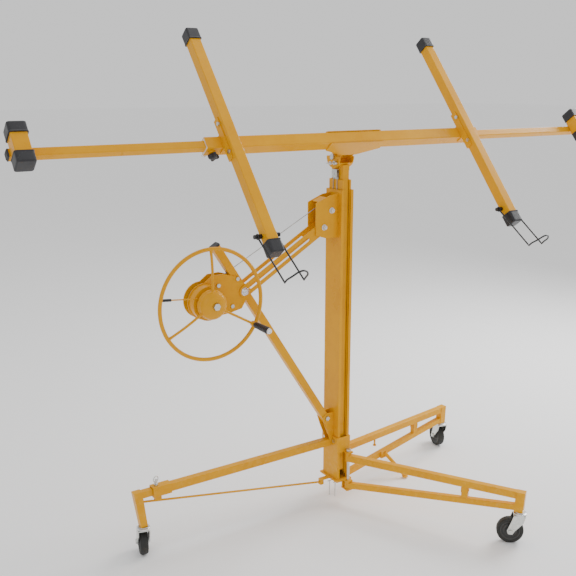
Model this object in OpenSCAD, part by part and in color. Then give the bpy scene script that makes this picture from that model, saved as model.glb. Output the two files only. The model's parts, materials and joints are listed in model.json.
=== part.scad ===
// Drywall lift: a tripod on casters carries a three stage telescoping mast, raised by a
// hand wheel winch and cable, with a tilting cradle that holds a sheet of board.
// X runs along the cradle beam, Z is up, and the origin is on the floor, in the middle of
// the footprint. Every sub-part is drawn about the mast axis and then moved by placed().

/* [Mast] */
// Height of the lower end of the mast above the floor
mast_bottom = 95; // [90:1:110]
// Length of each mast stage
stage_len = 1195; // [1100:5:1250]
// Width of the outer stage, across the beam direction
stage_w = 56; // [54:1:60]
// Depth of the outer stage
stage_d = 100; // [96:1:110]
// Wall thickness of the mast stages
stage_t = 2.5; // [2:0.5:3]

/* [Cradle] */
// Tilt of the cradle at rest, 0 is level
cradle_tilt = 51; // [0:1:60]
// Length of the cradle beam
beam_len = 1242; // [1200:2:1300]
// Side of the square beam tube
beam_s = 45; // [44:1:48]
// Distance of each cross arm from the middle
arm_x = 540; // [500:1:550]
// Half the length of a cross arm tube
arm_half = 440; // [400:1:460]
// Side of the cross arm tube
arm_s = 40; // [38:1:40]
// Distance of the outer ends of the outriggers from the middle
outrigger_x = 1252; // [1200:1:1300]
// Side of the outrigger tube
outrigger_s = 28; // [26:1:30]

/* [Winch] */
// Radius of the hand wheel at the middle of its rim
wheel_r = 197; // [180:1:210]
// Radius of the rim tube
rim_r = 7; // [6:0.5:8]
// Height of the winch axis
winch_z = 934; // [930:1:940]
// Distance of the winch axis from the mast axis
winch_x = -600; // [-610:1:-595]

/* [Base] */
// Reach of the fixed leg, from the mast axis to its caster stem
left_reach = 862; // [850:1:880]
// Reach of a folding leg, from its hinge pin to its caster stem
leg_reach = 697; // [640:1:720]
// Direction of the right leg
right_angle = -59.8; // [-62:0.1:-56]
// Direction of the rear leg
rear_angle = 7.9; // [4:0.1:12]
// Diameter of the caster wheels
caster_d = 100; // [90:1:100]
// Height of a caster from the floor to its mounting face
caster_h = 128; // [126:1:130]

/* [Hidden] */
$fn = 48;

paint = "orange";
dark_plastic = "dimgray";
steel = "silver";

// The mast axis lies this far behind the middle of the footprint
mast_y = 258.5;

// Mast stages: each inner stage leaves room for glides, and for the cable on the left
stage1_top = mast_bottom + stage_len;
stage1_in = stage_w / 2 - stage_t;
stage2_hw = stage1_in - 5.5;
stage2_in = stage2_hw - stage_t;
stage3_hw = stage2_in - 2.5;
stage1_back = stage_d / 2 - stage_t;
stage2_back = stage1_back - 5.5;
stage2_front = -stage1_back + 3.5;
stage3_back = stage2_back - stage_t - 5.5;
stage3_front = stage2_front + stage_t + 3.5;
stage2_bottom = mast_bottom + 18;
stage2_top = stage1_top + 38;
stage3_bottom = mast_bottom + 36;
stage3_top = stage2_top + 34;
lip = 12;
glide_gap = 0.3;
cable_r = 1.6;
cable_x = -(stage1_in + stage2_hw) / 2;
pivot_z = stage3_top + 51;

// Cable pulley on the mast, with the cable's own radius on each
pulley_r = 35;
pulley_x = cable_x - pulley_r;
pulley_z = 1214;
drum_r = 32;
upper_pulley_r = 12;
upper_pulley_z = stage2_top + 20;

// Cradle, in its own frame: X along the beam, Y along the arms, Z out of the board side
beam_n = 104;
saddle_t = 4;
arm_n = beam_n + beam_s / 2 + saddle_t + arm_s / 2;
pad_n = arm_n + arm_s / 2 - 25;
tube_t = 2.5;
cap_t = 4;
cap_len = 42;
head_r = 42;
pad_s = 50;
pad_half = 66;
pad_x = outrigger_x - 28;
outrigger_in = 485;
hook_v = -372;
hook_n = arm_n - 10;
hook_hw = 35;
hook_rise = 15;
hook_len = 200;
hook_arch = 84;
wire_r = 3;

// Winch, with every part of it at a set distance in front of the mast axis
strut_foot = [-52, 0, 350];
strut_head = [-545, 0, 1121];
strut_s = 30;
tie_low = [-438, 0, 948];
tie_high = [-92, 0, 1152];
frame_y = strut_s / 2;
plate_t = 4;
tie_y = frame_y + plate_t + 0.3;
housing_y = tie_y + plate_t + 0.7;
wheel_y = -74;
hub_y = -66;
crank_angle = -30;
crank_r = 190;

// Base
rail_s = 30;
rail_z = 253;
leg_top_z = 194;
leg_low_z = 72;
right_pin = [12, -70];
rear_pin = [50, 14];
pin_r = 6;
fork_trail = 33;
left_stem = [-left_reach, 0, 0];
right_stem = [right_pin.x + leg_reach * cos(right_angle), right_pin.y + leg_reach * sin(right_angle), 0];
rear_reach = leg_reach - 47;
rear_stem = [rear_pin.x + rear_reach * cos(rear_angle), rear_pin.y + rear_reach * sin(rear_angle), 0];
left_yaw = 75;
right_yaw = 138;
rear_yaw = 75;
slack = 0.2;
run_fit = 0.06;
spacers = [[-545, 0, 984], [-490, 0, 900]];

// ---- helpers ----

module placed() translate([0, mast_y, 0]) children();

// Runs children, drawn along +Z, from point a towards point b
module span(a, b) {
    d = b - a;
    translate(a) rotate([0, acos(d.z / norm(d)), atan2(d.y, d.x)]) children();
}

module rod(a, b, r) span(a, b) cylinder(r = r, h = norm(b - a));

module rrect(w, h, r) {
    square([w - 2 * r, h], center = true);
    square([w, h - 2 * r], center = true);
    for (x = [-1, 1], y = [-1, 1]) translate([x * (w / 2 - r), y * (h / 2 - r)]) circle(r);
}

// A square or rectangular tube along +Z
module tube(w, h, t, len, r = 3) {
    linear_extrude(len) difference() {
        rrect(w, h, r);
        rrect(w - 2 * t, h - 2 * t, max(r - t, 0.8));
    }
}

// A tube along +X, from x0 to x1
module tube_x(s, t, x0, x1, r = 3) translate([x0, 0, 0]) rotate([0, 90, 0]) tube(s, s, t, x1 - x0, r);

// A plate in the XZ plane between y0 and y1
module plate_xz(y0, y1) translate([0, y1, 0]) rotate([90, 0, 0]) linear_extrude(y1 - y0) children();

// A plate in the YZ plane between x0 and x1
module plate_yz(x0, x1) translate([x0, 0, 0]) rotate([90, 0, 90]) linear_extrude(x1 - x0) children();

// A bolt along +Y from y0 to y1, with a hex head, a washer face and a nut outside
module bolt_y(p, r, y0, y1) translate(p) rotate([-90, 0, 0]) {
    translate([0, 0, y0]) cylinder(r = r, h = y1 - y0);
    translate([0, 0, y0 - r * 1.3]) cylinder(r = r * 1.95, h = r * 1.3, $fn = 6);
    translate([0, 0, y1]) cylinder(r = r * 1.95, h = r * 1.3, $fn = 6);
}

// A bolt along +X from x0 to x1
module bolt_x(p, r, x0, x1) translate(p) rotate([0, 90, 0]) {
    translate([0, 0, x0]) cylinder(r = r, h = x1 - x0);
    translate([0, 0, x0 - r * 1.3]) cylinder(r = r * 1.95, h = r * 1.3, $fn = 6);
    translate([0, 0, x1]) cylinder(r = r * 1.95, h = r * 1.3, $fn = 6);
}

module bore_y(p, r, y0, y1) translate([p.x, y0, p.z]) rotate([-90, 0, 0]) cylinder(r = r, h = y1 - y0);

module ring(major, minor) rotate_extrude() translate([major, 0]) circle(minor, $fn = 24);

// A channel section open towards -Y, with a back wall and two front lips
module channel(hw, front, back, edge) {
    difference() {
        translate([-hw, front]) square([2 * hw, back - front]);
        translate([-hw + stage_t, front + stage_t]) square([2 * (hw - stage_t), back - front - 2 * stage_t]);
        translate([-hw + edge, front - 1]) square([2 * (hw - edge), stage_t + 2]);
    }
}

// ---- mast ----

module mast_stage1() color(paint) placed() difference() {
    translate([0, 0, mast_bottom]) linear_extrude(stage_len) channel(stage_w / 2, -stage_d / 2, stage_d / 2, lip);
    translate([-stage_w / 2 - 1, -7, pulley_z - 42]) cube([stage_t + 2, 14, 84]);
}

// Glide blocks between a stage of half width hw and a wall at half width wall
module side_glides(hw, wall, ys, z0, z1) {
    for (side = [-1, 1], y = ys)
        translate([side * (hw + wall) / 2 - (wall - hw) / 2, y - 5, z0]) cube([wall - hw, 10, z1 - z0]);
}

module stage1_glides() color("ivory") placed() {
    side_glides(stage2_hw + glide_gap, stage1_in, [-30, 28], stage1_top - 45, stage1_top - 3);
    translate([-14, stage2_back + glide_gap, stage1_top - 45]) cube([28, stage1_back - stage2_back - glide_gap, 42]);
}

module mast_stage2() color(paint) placed() translate([0, 0, stage2_bottom])
    linear_extrude(stage2_top - stage2_bottom) channel(stage2_hw, stage2_front, stage2_back, 8);

module stage2_glides() color("ivory") placed() {
    side_glides(stage2_hw, stage1_in - glide_gap, [-30, 28], stage2_bottom + 4, stage2_bottom + 44);
    side_glides(stage3_hw + glide_gap, stage2_in, [-28, 20], stage2_top - 44, stage2_top - 4);
    translate([-10, stage3_back + glide_gap, stage2_top - 44])
        cube([20, stage2_back - stage_t - stage3_back - glide_gap, 40]);
    translate([-14, stage2_back, stage2_bottom + 4])
        cube([28, stage1_back - stage2_back - glide_gap, 40]);
}

module mast_stage3() color(paint) placed()
    translate([0, (stage3_front + stage3_back) / 2, stage3_bottom])
    tube(2 * stage3_hw, stage3_back - stage3_front, stage_t, stage3_top - stage3_bottom);

module stage3_glides() color("ivory") placed() {
    side_glides(stage3_hw, stage2_in - glide_gap, [-28, 20], stage3_bottom + 4, stage3_bottom + 44);
    translate([-10, stage3_back, stage3_bottom + 4])
        cube([20, stage2_back - stage_t - stage3_back - glide_gap, 40]);
}

// ---- pulleys and cable ----

// A sheave of cable radius r about +Z, with a groove and a bore
module sheave(r, half, bore) rotate_extrude() polygon([
    [bore, -half], [r + 2, -half], [r + 2, 0.5 - half], [r - cable_r, -cable_r - 0.3],
    [r - cable_r, cable_r + 0.3], [r + 2, half - 0.5], [r + 2, half], [bore, half]
]);

module mast_pulley() color(steel) placed() translate([pulley_x, 0, pulley_z]) rotate([90, 0, 0])
    sheave(pulley_r, 5, 5.05);

module stage2_pulley() color(steel) placed() translate([cable_x, 0, upper_pulley_z]) rotate([0, 90, 0])
    sheave(upper_pulley_r, 2.6, 3.05);

module stage2_pulley_bracket() color(steel) placed() {
    top = upper_pulley_z + 16;
    inner = 0.6 - stage2_hw;
    outer = cable_x - 3.2;
    translate([inner, -16, stage2_top]) cube([2, 32, top - stage2_top]);
    translate([outer - 2, -16, stage2_top + 6]) cube([2, 32, top - stage2_top - 6]);
    translate([outer - 2, -16, top]) cube([inner - outer + 4, 32, 2]);
    translate([outer - 3.5, 0, upper_pulley_z]) rotate([0, 90, 0]) cylinder(r = 3, h = inner - outer + 5);
}

// Angle at which the cable leaves both the pulley and the drum, from the X axis
cable_run = norm([pulley_x - winch_x, pulley_z - winch_z]);
cable_slope = atan2(pulley_z - winch_z, pulley_x - winch_x) + asin((pulley_r - drum_r) / cable_run);

// Part of a ring of cable about the Y axis, from angle a0 to a1 above the X axis
module cable_arc(r, a0, a1) rotate([90, -a0, 0])
    rotate_extrude(angle = a1 - a0) translate([r, 0]) circle(cable_r, $fn = 20);

// The straight run of the cable from the drum to the pulley on the mast
module cable_run_to_mast(r) {
    leave = cable_slope + 90;
    from = [winch_x + (drum_r + 0.1) * cos(leave), 0, winch_z + (drum_r + 0.1) * sin(leave)];
    to = [pulley_x + (pulley_r + 0.1) * cos(leave), 0, pulley_z + (pulley_r + 0.1) * sin(leave)];
    rod(from, to, r);
}

module lift_cable() color(steel) placed() {
    cable_run_to_mast(cable_r);
    translate([pulley_x, 0, pulley_z]) cable_arc(pulley_r + 0.1, 0, cable_slope + 90);
    rod([cable_x + 0.1, 0, stage2_bottom + 60], [cable_x + 0.1, 0, pulley_z], cable_r);
}

module stage_cable() color(steel) placed() {
    r = upper_pulley_r + 0.1;
    for (side = [-1, 1])
        rod([cable_x, side * r, stage2_bottom + 50], [cable_x, side * r, upper_pulley_z], cable_r);
    translate([cable_x, 0, upper_pulley_z]) rotate([90, 0, 90])
        rotate_extrude(angle = 180) translate([r, 0]) circle(cable_r, $fn = 20);
}

module pulley_housing() color(paint) placed() {
    for (side = [-1, 1]) difference() {
        plate_xz(side > 0 ? housing_y : -housing_y - plate_t, side > 0 ? housing_y + plate_t : -housing_y)
            polygon([[-stage_w / 2, 1276], [-64, 1272], [-130, 1246], [-130, 1124], [-80, 1108], [-stage_w / 2, 1108]]);
        for (p = [[pulley_x, 0, pulley_z], tie_high]) bore_y(p, 5.2, -60, 60);
    }
    // rear wall between the cheeks, below the pulley, welded to the mast
    translate([-stage_w / 2 - 4, -housing_y, 1108]) cube([4, 2 * housing_y, 60]);
    translate([-110, -housing_y, 1240]) rotate([0, -21.5, 0]) translate([0, 0, 8]) cube([40, 2 * housing_y, 3]);
}

// ---- winch side ----

module strut() color(paint) placed() difference() {
    span(strut_foot, strut_head) tube(strut_s, strut_s, 2, norm(strut_head - strut_foot));
    for (p = [tie_low, frame_hole]) bore_y(p, 4.2, -40, 40);
    bore_y(strut_bolt, 5.2, -40, 40);
    // slot that lets the cable through
    cable_run_to_mast(5);
}

strut_dir = (strut_head - strut_foot) / norm(strut_head - strut_foot);
strut_bolt = strut_foot + strut_dir * 18;
frame_hole = strut_foot + strut_dir * 770;

module strut_end_cap() color(dark_plastic) placed() span(strut_head, strut_head + strut_dir) {
    linear_extrude(7) rrect(strut_s + 3, strut_s + 3, 4);
    translate([0, 0, -18]) linear_extrude(18) rrect(strut_s - 4.4, strut_s - 4.4, 1);
}

// A slotted link: a bar with round ends and a long slot, from tie_low to tie_high
module tie_links() color(paint) placed() {
    run = norm(tie_high - tie_low);
    slope = atan2(tie_high.z - tie_low.z, tie_high.x - tie_low.x);
    for (side = [-1, 1])
        plate_xz(side > 0 ? tie_y : -tie_y - plate_t, side > 0 ? tie_y + plate_t : -tie_y)
            translate([tie_low.x, tie_low.z]) rotate(slope) difference() {
                union() {
                    translate([0, -22]) square([run, 44]);
                    circle(22);
                    translate([run, 0]) circle(22);
                }
                circle(4.3);
                translate([run, 0]) circle(5.2);
                translate([30, -8]) square([run - 112, 16]);
                for (x = [30, run - 82]) translate([x, 0]) circle(8);
            }
}

module winch_frame() color(paint) placed() {
    for (side = [-1, 1]) difference() {
        plate_xz(side > 0 ? frame_y : -frame_y - plate_t, side > 0 ? frame_y + plate_t : -frame_y) union() {
            translate([winch_x, winch_z]) circle(66);
            polygon([
                [-654, 972], [-603, 998], [-570, 1022], [-524, 1024], [-472, 1008], [-424, 966], [-420, 934],
                [-450, 886], [-499, 876], [-600, 868]
            ]);
        }
        bore_y([winch_x, 0, winch_z], 8.05, -60, 60);
        for (p = concat([tie_low, frame_hole], spacers)) bore_y(p, 4.2, -60, 60);
    }
    // spacer tubes between the plates
    for (p = spacers) difference() {
        bore_y(p, 8, -frame_y, frame_y);
        bore_y(p, 4.2, -60, 60);
    }
}

module brake_housing() color(paint) placed() {
    y0 = -frame_y - plate_t;
    difference() {
        bore_y([winch_x, 0, winch_z], 62, y0 - 36, y0);
        bore_y([winch_x, 0, winch_z], 56, y0 - 32, y0 + 1);
        bore_y([winch_x, 0, winch_z], 18, y0 - 60, y0 + 1);
    }
}

module frame_bolts() color(steel) placed() {
    outer = housing_y + plate_t;
    bolt_y([pulley_x, 0, pulley_z], 5, -outer, outer);
    bolt_y(tie_high, 5, -outer, outer);
    bolt_y(tie_low, 4, -tie_y - plate_t, tie_y + plate_t);
    for (p = concat([frame_hole], spacers))
        bolt_y(p, 4, -frame_y - plate_t, frame_y + plate_t);
    bolt_y(strut_bolt, 5, -ear_y - plate_t, ear_y + plate_t);
    // set bolts of the collar, which stop at the wall of the mast
    for (side = [-1, 1], y = [-30, 30]) translate([side * collar_hw, y, 262]) rotate([0, 90 * side, 0]) {
        translate([0, 0, -5]) cylinder(r = 4, h = 6);
        cylinder(r = 7.8, h = 5.2, $fn = 6);
    }
}

module cable_drum() color(steel) placed() translate([winch_x, 0, winch_z]) rotate([90, 0, 0]) difference() {
    union() {
        cylinder(r = drum_r - cable_r, h = 28, center = true);
        for (z = [-14, 12]) translate([0, 0, z]) cylinder(r = 52, h = 2);
    }
    cylinder(r = 8, h = 40, center = true);
}

module winch_shaft() color(steel) placed() translate([winch_x, 0, winch_z]) rotate([90, 0, 0]) {
    translate([0, 0, -26]) cylinder(r = 8, h = 132);
    translate([0, 0, -26]) cylinder(r = 12, h = 6.5);
    translate([0, 0, 106]) cylinder(r = 13, h = 9, $fn = 6);
}

// The wheel is dished: its spokes run back from the hub to the rim
module hand_wheel() color(paint) placed() translate([winch_x, 0, winch_z]) rotate([90, 0, 0]) {
    z_rim = -wheel_y;
    z_hub = -hub_y;
    translate([0, 0, z_rim]) rotate_extrude($fn = 96) translate([wheel_r, 0]) circle(rim_r);
    rotate_extrude() polygon([
        [8, z_hub], [50, z_hub], [54, z_hub + 4], [54, z_hub + 22], [50, z_hub + 30],
        [38, z_hub + 37], [20, z_hub + 40], [8, z_hub + 40]
    ]);
    for (a = [90, 210, crank_angle])
        rod([50 * cos(a), 50 * sin(a), z_hub + 17], [wheel_r * cos(a), wheel_r * sin(a), z_rim], 5.5);
    // boss and spindle for the crank grip
    rotate([0, 0, crank_angle]) translate([crank_r, 0, z_rim - 5]) {
        cylinder(r = 10, h = 16);
        cylinder(r = 5, h = 118);
        translate([0, 0, 116]) cylinder(r = 9, h = 4);
    }
}

module crank_grip() color(dark_plastic) placed() translate([winch_x, 0, winch_z]) rotate([90, 0, 0])
    rotate([0, 0, crank_angle]) translate([crank_r, 0, -wheel_y - 5]) rotate_extrude() polygon([
        [5.05, 17], [10, 17], [12, 22], [10.5, 40], [12.5, 75], [13, 98], [11, 110], [8, 113], [5.05, 113]
    ]);

// The lever's rod starts above the winch axis and rises a little towards its tip
lever_z = 59;
lever_from = [-24, 22, lever_z];
lever_to = [-170, 36.5, lever_z];
lever_dir = (lever_to - lever_from) / norm(lever_to - lever_from);
module brake_lever() color(paint) placed() translate([winch_x, 0, winch_z]) rotate([90, 0, 0]) {
    difference() {
        translate([0, 0, 56.5]) cylinder(r = 32, h = 5);
        translate([0, 0, 50]) cylinder(r = 8.4, h = 20);
    }
    rod(lever_from, lever_to, 2.4);
}

module brake_lever_grip() color(dark_plastic) placed() translate([winch_x, 0, winch_z]) rotate([90, 0, 0])
    difference() {
        rod(lever_to - 22 * lever_dir, lever_to + 14 * lever_dir, 5);
        rod(lever_to - 23 * lever_dir, lever_to, 2.4);
    }

// ---- base ----

collar_hw = stage_w / 2 + 5;
collar_hd = stage_d / 2 + 5;
ear_y = strut_s / 2 + 0.5;

module base_bracket() color(paint) placed() {
    difference() {
        union() {
            translate([-37, -60, mast_bottom - 7]) cube([74, 120, 7]);
            translate([right_pin.x - 14, -84, mast_bottom - 7]) cube([28, 26, 7]);
            translate([30, rear_pin.y - 14, mast_bottom - 7]) cube([34, 28, 7]);
            translate([right_pin.x - 14, -84, mast_bottom - 43]) cube([28, 40, 6]);
            translate([20, rear_pin.y - 14, mast_bottom - 43]) cube([44, 28, 6]);
            // webs that tie the lower ears to the plate
            translate([right_pin.x - 14, -52, mast_bottom - 43]) cube([28, 6, 43]);
            translate([24, rear_pin.y - 14, mast_bottom - 43]) cube([6, 28, 43]);
            // lug for the rod of the fixed leg
            translate([-82, -8, mast_bottom - 7]) cube([50, 16, 7]);
            translate([-82, -8, mast_bottom - 26]) cube([16, 16, 26]);
        }
        rod(rod_a, rod_b, 4.2);
        for (p = [right_pin, rear_pin]) translate([p.x, p.y, 30]) cylinder(r = pin_r + slack, h = 80);
    }
}

// Sleeve around the mast with ears for the legs' hinge pins and for the strut
module leg_collar() color(paint) placed() {
    difference() {
        translate([0, 0, 216]) linear_extrude(66) difference() {
            rrect(2 * collar_hw, 2 * collar_hd, 4);
            square([stage_w, stage_d], center = true);
        }
        for (side = [-1, 1]) translate([-60, side * 30, 262]) rotate([0, 90, 0]) cylinder(r = 4.2, h = 120);
    }
    difference() {
        union() {
            translate([right_pin.x - 14, -84, 216]) cube([28, 84 - collar_hd, 6]);
            translate([collar_hw, rear_pin.y - 14, 216]) cube([64 - collar_hw, 28, 6]);
        }
        for (p = [right_pin, rear_pin]) translate([p.x, p.y, 200]) cylinder(r = pin_r + slack, h = 40);
    }
    for (side = [-1, 1]) difference() {
        plate_xz(side > 0 ? ear_y : -ear_y - plate_t, side > 0 ? ear_y + plate_t : -ear_y)
            polygon([[-collar_hw, 282], [-collar_hw, 238], [-70, 330], [-84, 372], [-58, 386], [-stage_w / 2, 386], [-stage_w / 2, 282]]);
        bore_y(strut_bolt, 5.2, -60, 60);
    }
}

module left_leg() color(paint) placed() {
    difference() {
        union() {
            translate([0, 0, rail_z]) tube_x(rail_s, 2, -left_reach + 73, -collar_hw);
            translate([-left_reach + 38, 0, rail_z]) rotate([0, 90, 0]) difference() {
                linear_extrude(72) rrect(rail_s + 8, rail_s + 8, 4);
                translate([0, 0, -1]) linear_extrude(74) rrect(rail_s + slack * 2, rail_s + slack * 2, 3.2);
            }
            // block that closes the sleeve onto the tube
            translate([-left_reach + 73, 0, rail_z]) rotate([0, 90, 0]) difference() {
                linear_extrude(36) rrect(rail_s + 2, rail_s + 2, 3);
                translate([0, 0, -1]) linear_extrude(38) rrect(rail_s - 1, rail_s - 1, 2.5);
            }
            translate([-left_reach + 48, -6, rail_z - 40]) cube([26, 12, 22]);
        }
        translate([-left_reach + 56, 0, rail_z]) cylinder(r = 4.3, h = 40);
        rod(rod_a, rod_b, 4.4);
    }
}

rod_a = [-74, 0, mast_bottom - 16];
rod_b = [-left_reach - 10, 0, 224];
module left_leg_rod() color(paint) placed() {
    rod(rod_a, rod_b, 4);
}

module left_leg_end() color(paint) placed() {
    difference() {
        union() {
            translate([0, 0, rail_z]) tube_x(25, 2, -left_reach - 20, -left_reach + 180, 2);
            plate_xz(-13, 13) polygon([
                [-left_reach - 35, rail_z + 15], [-left_reach - 3, rail_z + 15], [-left_reach + 13, caster_h],
                [-left_reach - 13, caster_h]
            ]);
        }
        translate([-left_reach + 56, 0, rail_z - 30]) cylinder(r = 4.3, h = 60);
        translate([-left_reach, 0, caster_h - 1]) cylinder(r = 6 + run_fit, h = 41);
        rod(rod_a, rod_b, 4.2);
    }
}

// Ring pin of the fixed leg, and the two long hinge pins with their wire handles
module leg_pins() color(steel) placed() {
    translate([-left_reach + 56, 0, rail_z - 10]) {
        cylinder(r = 4, h = 52);
        translate([0, 0, 29.1]) cylinder(r = 8, h = 6);
        translate([0, 0, 53]) rotate([90, 0, 20]) ring(11, 1.8);
    }
    for (p = [right_pin, rear_pin]) translate([p.x, p.y, 0]) {
        translate([0, 0, 46]) cylinder(r = pin_r, h = 184);
        translate([0, 0, 222]) cylinder(r = 9, h = 5);
        translate([0, 0, 228]) cylinder(r = 10, h = 4);
    }
    for (p = [[-46, -22], [-34, -44]]) {
        rod([p.x, p.y, 22], [p.x, p.y, mast_bottom - 7.2], 2);
        translate([p.x - 9, p.y, mast_bottom - 9]) rotate([0, 90, 0]) cylinder(r = 2, h = 18);
    }
}

// A folding leg, drawn along +X from its hinge pin
module truss_leg(reach) {
    difference() {
        union() {
            translate([0, 0, leg_top_z]) tube_x(28, 2, 4, reach + 4);
            low = [4, 0, leg_low_z];
            end = [reach - 14, 0, 144];
            span(low, end) tube(24, 24, 2, norm(end - low));
            // knuckles on the hinge pin
            translate([0, 0, leg_top_z - 14]) cylinder(r = 13, h = 35);
            translate([0, 0, mast_bottom - 36]) cylinder(r = 13, h = 28);
            // web between the rails and end post
            translate([reach * 0.68, -10, 134]) cube([reach * 0.035, 20, leg_top_z - 148]);
            plate_xz(-14, 14) polygon([
                [reach - 18, leg_top_z + 14], [reach + 16, leg_top_z + 14], [reach + 12, caster_h], [reach - 22, caster_h]
            ]);
        }
        cylinder(r = pin_r + run_fit, h = 300);
        translate([reach, 0, caster_h - 1]) cylinder(r = 6 + run_fit, h = 41);
    }
}

module leg_right() color(paint) placed() translate([right_pin.x, right_pin.y, 0]) rotate([0, 0, right_angle])
    truss_leg(leg_reach);

module leg_rear() color(paint) placed() translate([rear_pin.x, rear_pin.y, 0]) rotate([0, 0, rear_angle])
    truss_leg(rear_reach);

// Short stand under the rear leg, which holds it up when it is folded, and its catch pin
module leg_stand() color(paint) placed() translate([rear_pin.x, rear_pin.y, 0]) rotate([0, 0, rear_angle]) {
    top = [236, -22, 106];
    foot = [285, -100, 10];
    rod(top, foot, 8);
    translate([foot.x, foot.y, 6]) cylinder(r = 13, h = 5);
    translate([216, -22, 84]) cube([34, 10, 30]);
    translate([192, 0, leg_top_z - 44]) cylinder(r = 4, h = 30);
    translate([192, 0, leg_top_z - 48]) cylinder(r = 7, h = 5);
}

// ---- casters ----

module caster_place(stem, yaw) placed() translate([stem.x, stem.y, 0]) rotate([0, 0, yaw]) children();

// Fork with its stem, bearing race and axle: the wheel trails along +X
module caster_fork() {
    r = caster_d / 2;
    fork_y = 19;
    translate([0, 0, caster_h - 12]) cylinder(r = 24, h = 5);
    for (side = [-1, 1])
        plate_xz(side > 0 ? fork_y : -fork_y - 3, side > 0 ? fork_y + 3 : -fork_y) polygon([
            [-20, caster_h - 12], [24, caster_h - 12], [fork_trail + 13, r + 4], [fork_trail + 9, r - 9],
            [fork_trail - 9, r - 9], [fork_trail - 14, r + 2], [-12, r + 38]
        ]);
    translate([-20, -fork_y - 3, caster_h - 15]) cube([44, 2 * fork_y + 6, 3.5]);
    translate([0, 0, caster_h - 7]) cylinder(r = 19, h = 6.7);
    translate([0, 0, caster_h - 7]) cylinder(r = 6, h = 44);
    translate([fork_trail, 0, r]) rotate([-90, 0, 0]) {
        translate([0, 0, -26]) cylinder(r = 5, h = 52);
        translate([0, 0, -26.5]) cylinder(r = 9, h = 4.5, $fn = 6);
        translate([0, 0, 22]) cylinder(r = 9, h = 4.5, $fn = 6);
    }
}

module caster_wheel() translate([fork_trail, 0, caster_d / 2]) rotate([90, 0, 0]) rotate_extrude($fn = 64) {
    r = caster_d / 2;
    polygon([
        [5.06, -17], [14, -17], [16, -12], [34, -10], [38, -15], [r - 5, -15], [r - 1, -10], [r, -5],
        [r, 5], [r - 1, 10], [r - 5, 15], [38, 15], [34, 10], [16, 12], [14, 17], [5.06, 17]
    ]);
}

module caster_fork_left() color(steel) caster_place(left_stem, left_yaw) caster_fork();
module caster_fork_right() color(steel) caster_place(right_stem, right_yaw) caster_fork();
module caster_fork_rear() color(steel) caster_place(rear_stem, rear_yaw) caster_fork();
module caster_wheel_left() color(dark_plastic) caster_place(left_stem, left_yaw) caster_wheel();
module caster_wheel_right() color(dark_plastic) caster_place(right_stem, right_yaw) caster_wheel();
module caster_wheel_rear() color(dark_plastic) caster_place(rear_stem, rear_yaw) caster_wheel();

// ---- head and cradle ----

module mast_head() color(paint) placed() {
    head_hw = 34;
    difference() {
        union() {
            // curved trough about the pivot
            translate([-head_hw, 0, pivot_z]) rotate([0, 90, 0]) cylinder(r = head_r, h = 2 * head_hw, $fn = 72);
            translate([-stage3_hw, stage3_front, stage3_top])
                cube([2 * stage3_hw, stage3_back - stage3_front, pivot_z - stage3_top - 30]);
        }
        translate([-head_hw + 4, 0, pivot_z]) rotate([0, 90, 0]) cylinder(r = head_r - 4, h = 2 * head_hw - 8, $fn = 72);
        // open above a plane through the pivot that leans with the working tilts
        translate([-60, -100, pivot_z + 2]) cube([120, 200, 80]);
        translate([-head_hw + 4, -head_r - 20, pivot_z - 22]) cube([2 * head_hw - 8, 40, 40]);
        translate([-60, 0, pivot_z]) rotate([0, 90, 0]) cylinder(r = 6.06, h = 120);
        for (a = [200, 225, 250]) translate([-60, 30 * cos(a), pivot_z + 30 * sin(a)]) rotate([0, 90, 0])
            cylinder(r = 4.2, h = 50);
    }
    // cheeks around the pivot bolt
    for (side = [-1, 1]) difference() {
        translate([side > 0 ? head_hw - 4 : -head_hw, 0, pivot_z]) rotate([0, 90, 0]) cylinder(r = 15, h = 4);
        translate([-60, -60, pivot_z - 18]) cube([120, 120, 20]);
        translate([-60, 0, pivot_z]) rotate([0, 90, 0]) cylinder(r = 6.06, h = 120);
    }
}

module tilt_bolt() color(steel) placed() bolt_x([0, 0, pivot_z], 6, -34.2, 34.2);

module tilt_lock_pin() color(steel) placed() translate([0, 30 * cos(225), pivot_z + 30 * sin(225)]) rotate([0, -90, 0]) {
    translate([0, 0, 31]) cylinder(r = 4, h = 30);
    translate([0, 0, 34.2]) cylinder(r = 8, h = 12);
    translate([0, 0, 61]) cylinder(r = 7, h = 4);
    translate([0, 0, 68]) rotate([0, 90, 0]) ring(9, 1.6);
}

module cradle() placed() translate([0, 0, pivot_z]) rotate([cradle_tilt, 0, 0]) children();

// Two trapezoid plates on the faces of the beam, joined by cheeks that carry the pivot
module tilt_bracket() color(paint) cradle() {
    top = beam_n + beam_s / 2;
    low = beam_n - beam_s / 2;
    half = beam_s / 2;
    for (side = [-1, 1])
        plate_xz(side > 0 ? half : -half - plate_t, side > 0 ? half + plate_t : -half)
            polygon([[-125, top], [-125, low], [-32, 47], [32, 47], [125, low], [125, top]]);
    for (side = [-1, 1]) difference() {
        plate_yz(side > 0 ? 25 : -29, side > 0 ? 29 : -25) union() {
            translate([-half, 20]) square([2 * half, low - 20]);
            circle(20);
            translate([-20, 0]) square([40, 30]);
        }
        translate([-60, 0, 0]) rotate([0, 90, 0]) cylinder(r = 6.06, h = 120);
    }
    // tube that keeps the cheeks apart around the pivot bolt
    translate([-25, 0, 0]) rotate([0, 90, 0]) difference() {
        cylinder(r = 10, h = 50);
        translate([0, 0, -1]) cylinder(r = 6.06, h = 52);
    }
}

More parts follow.
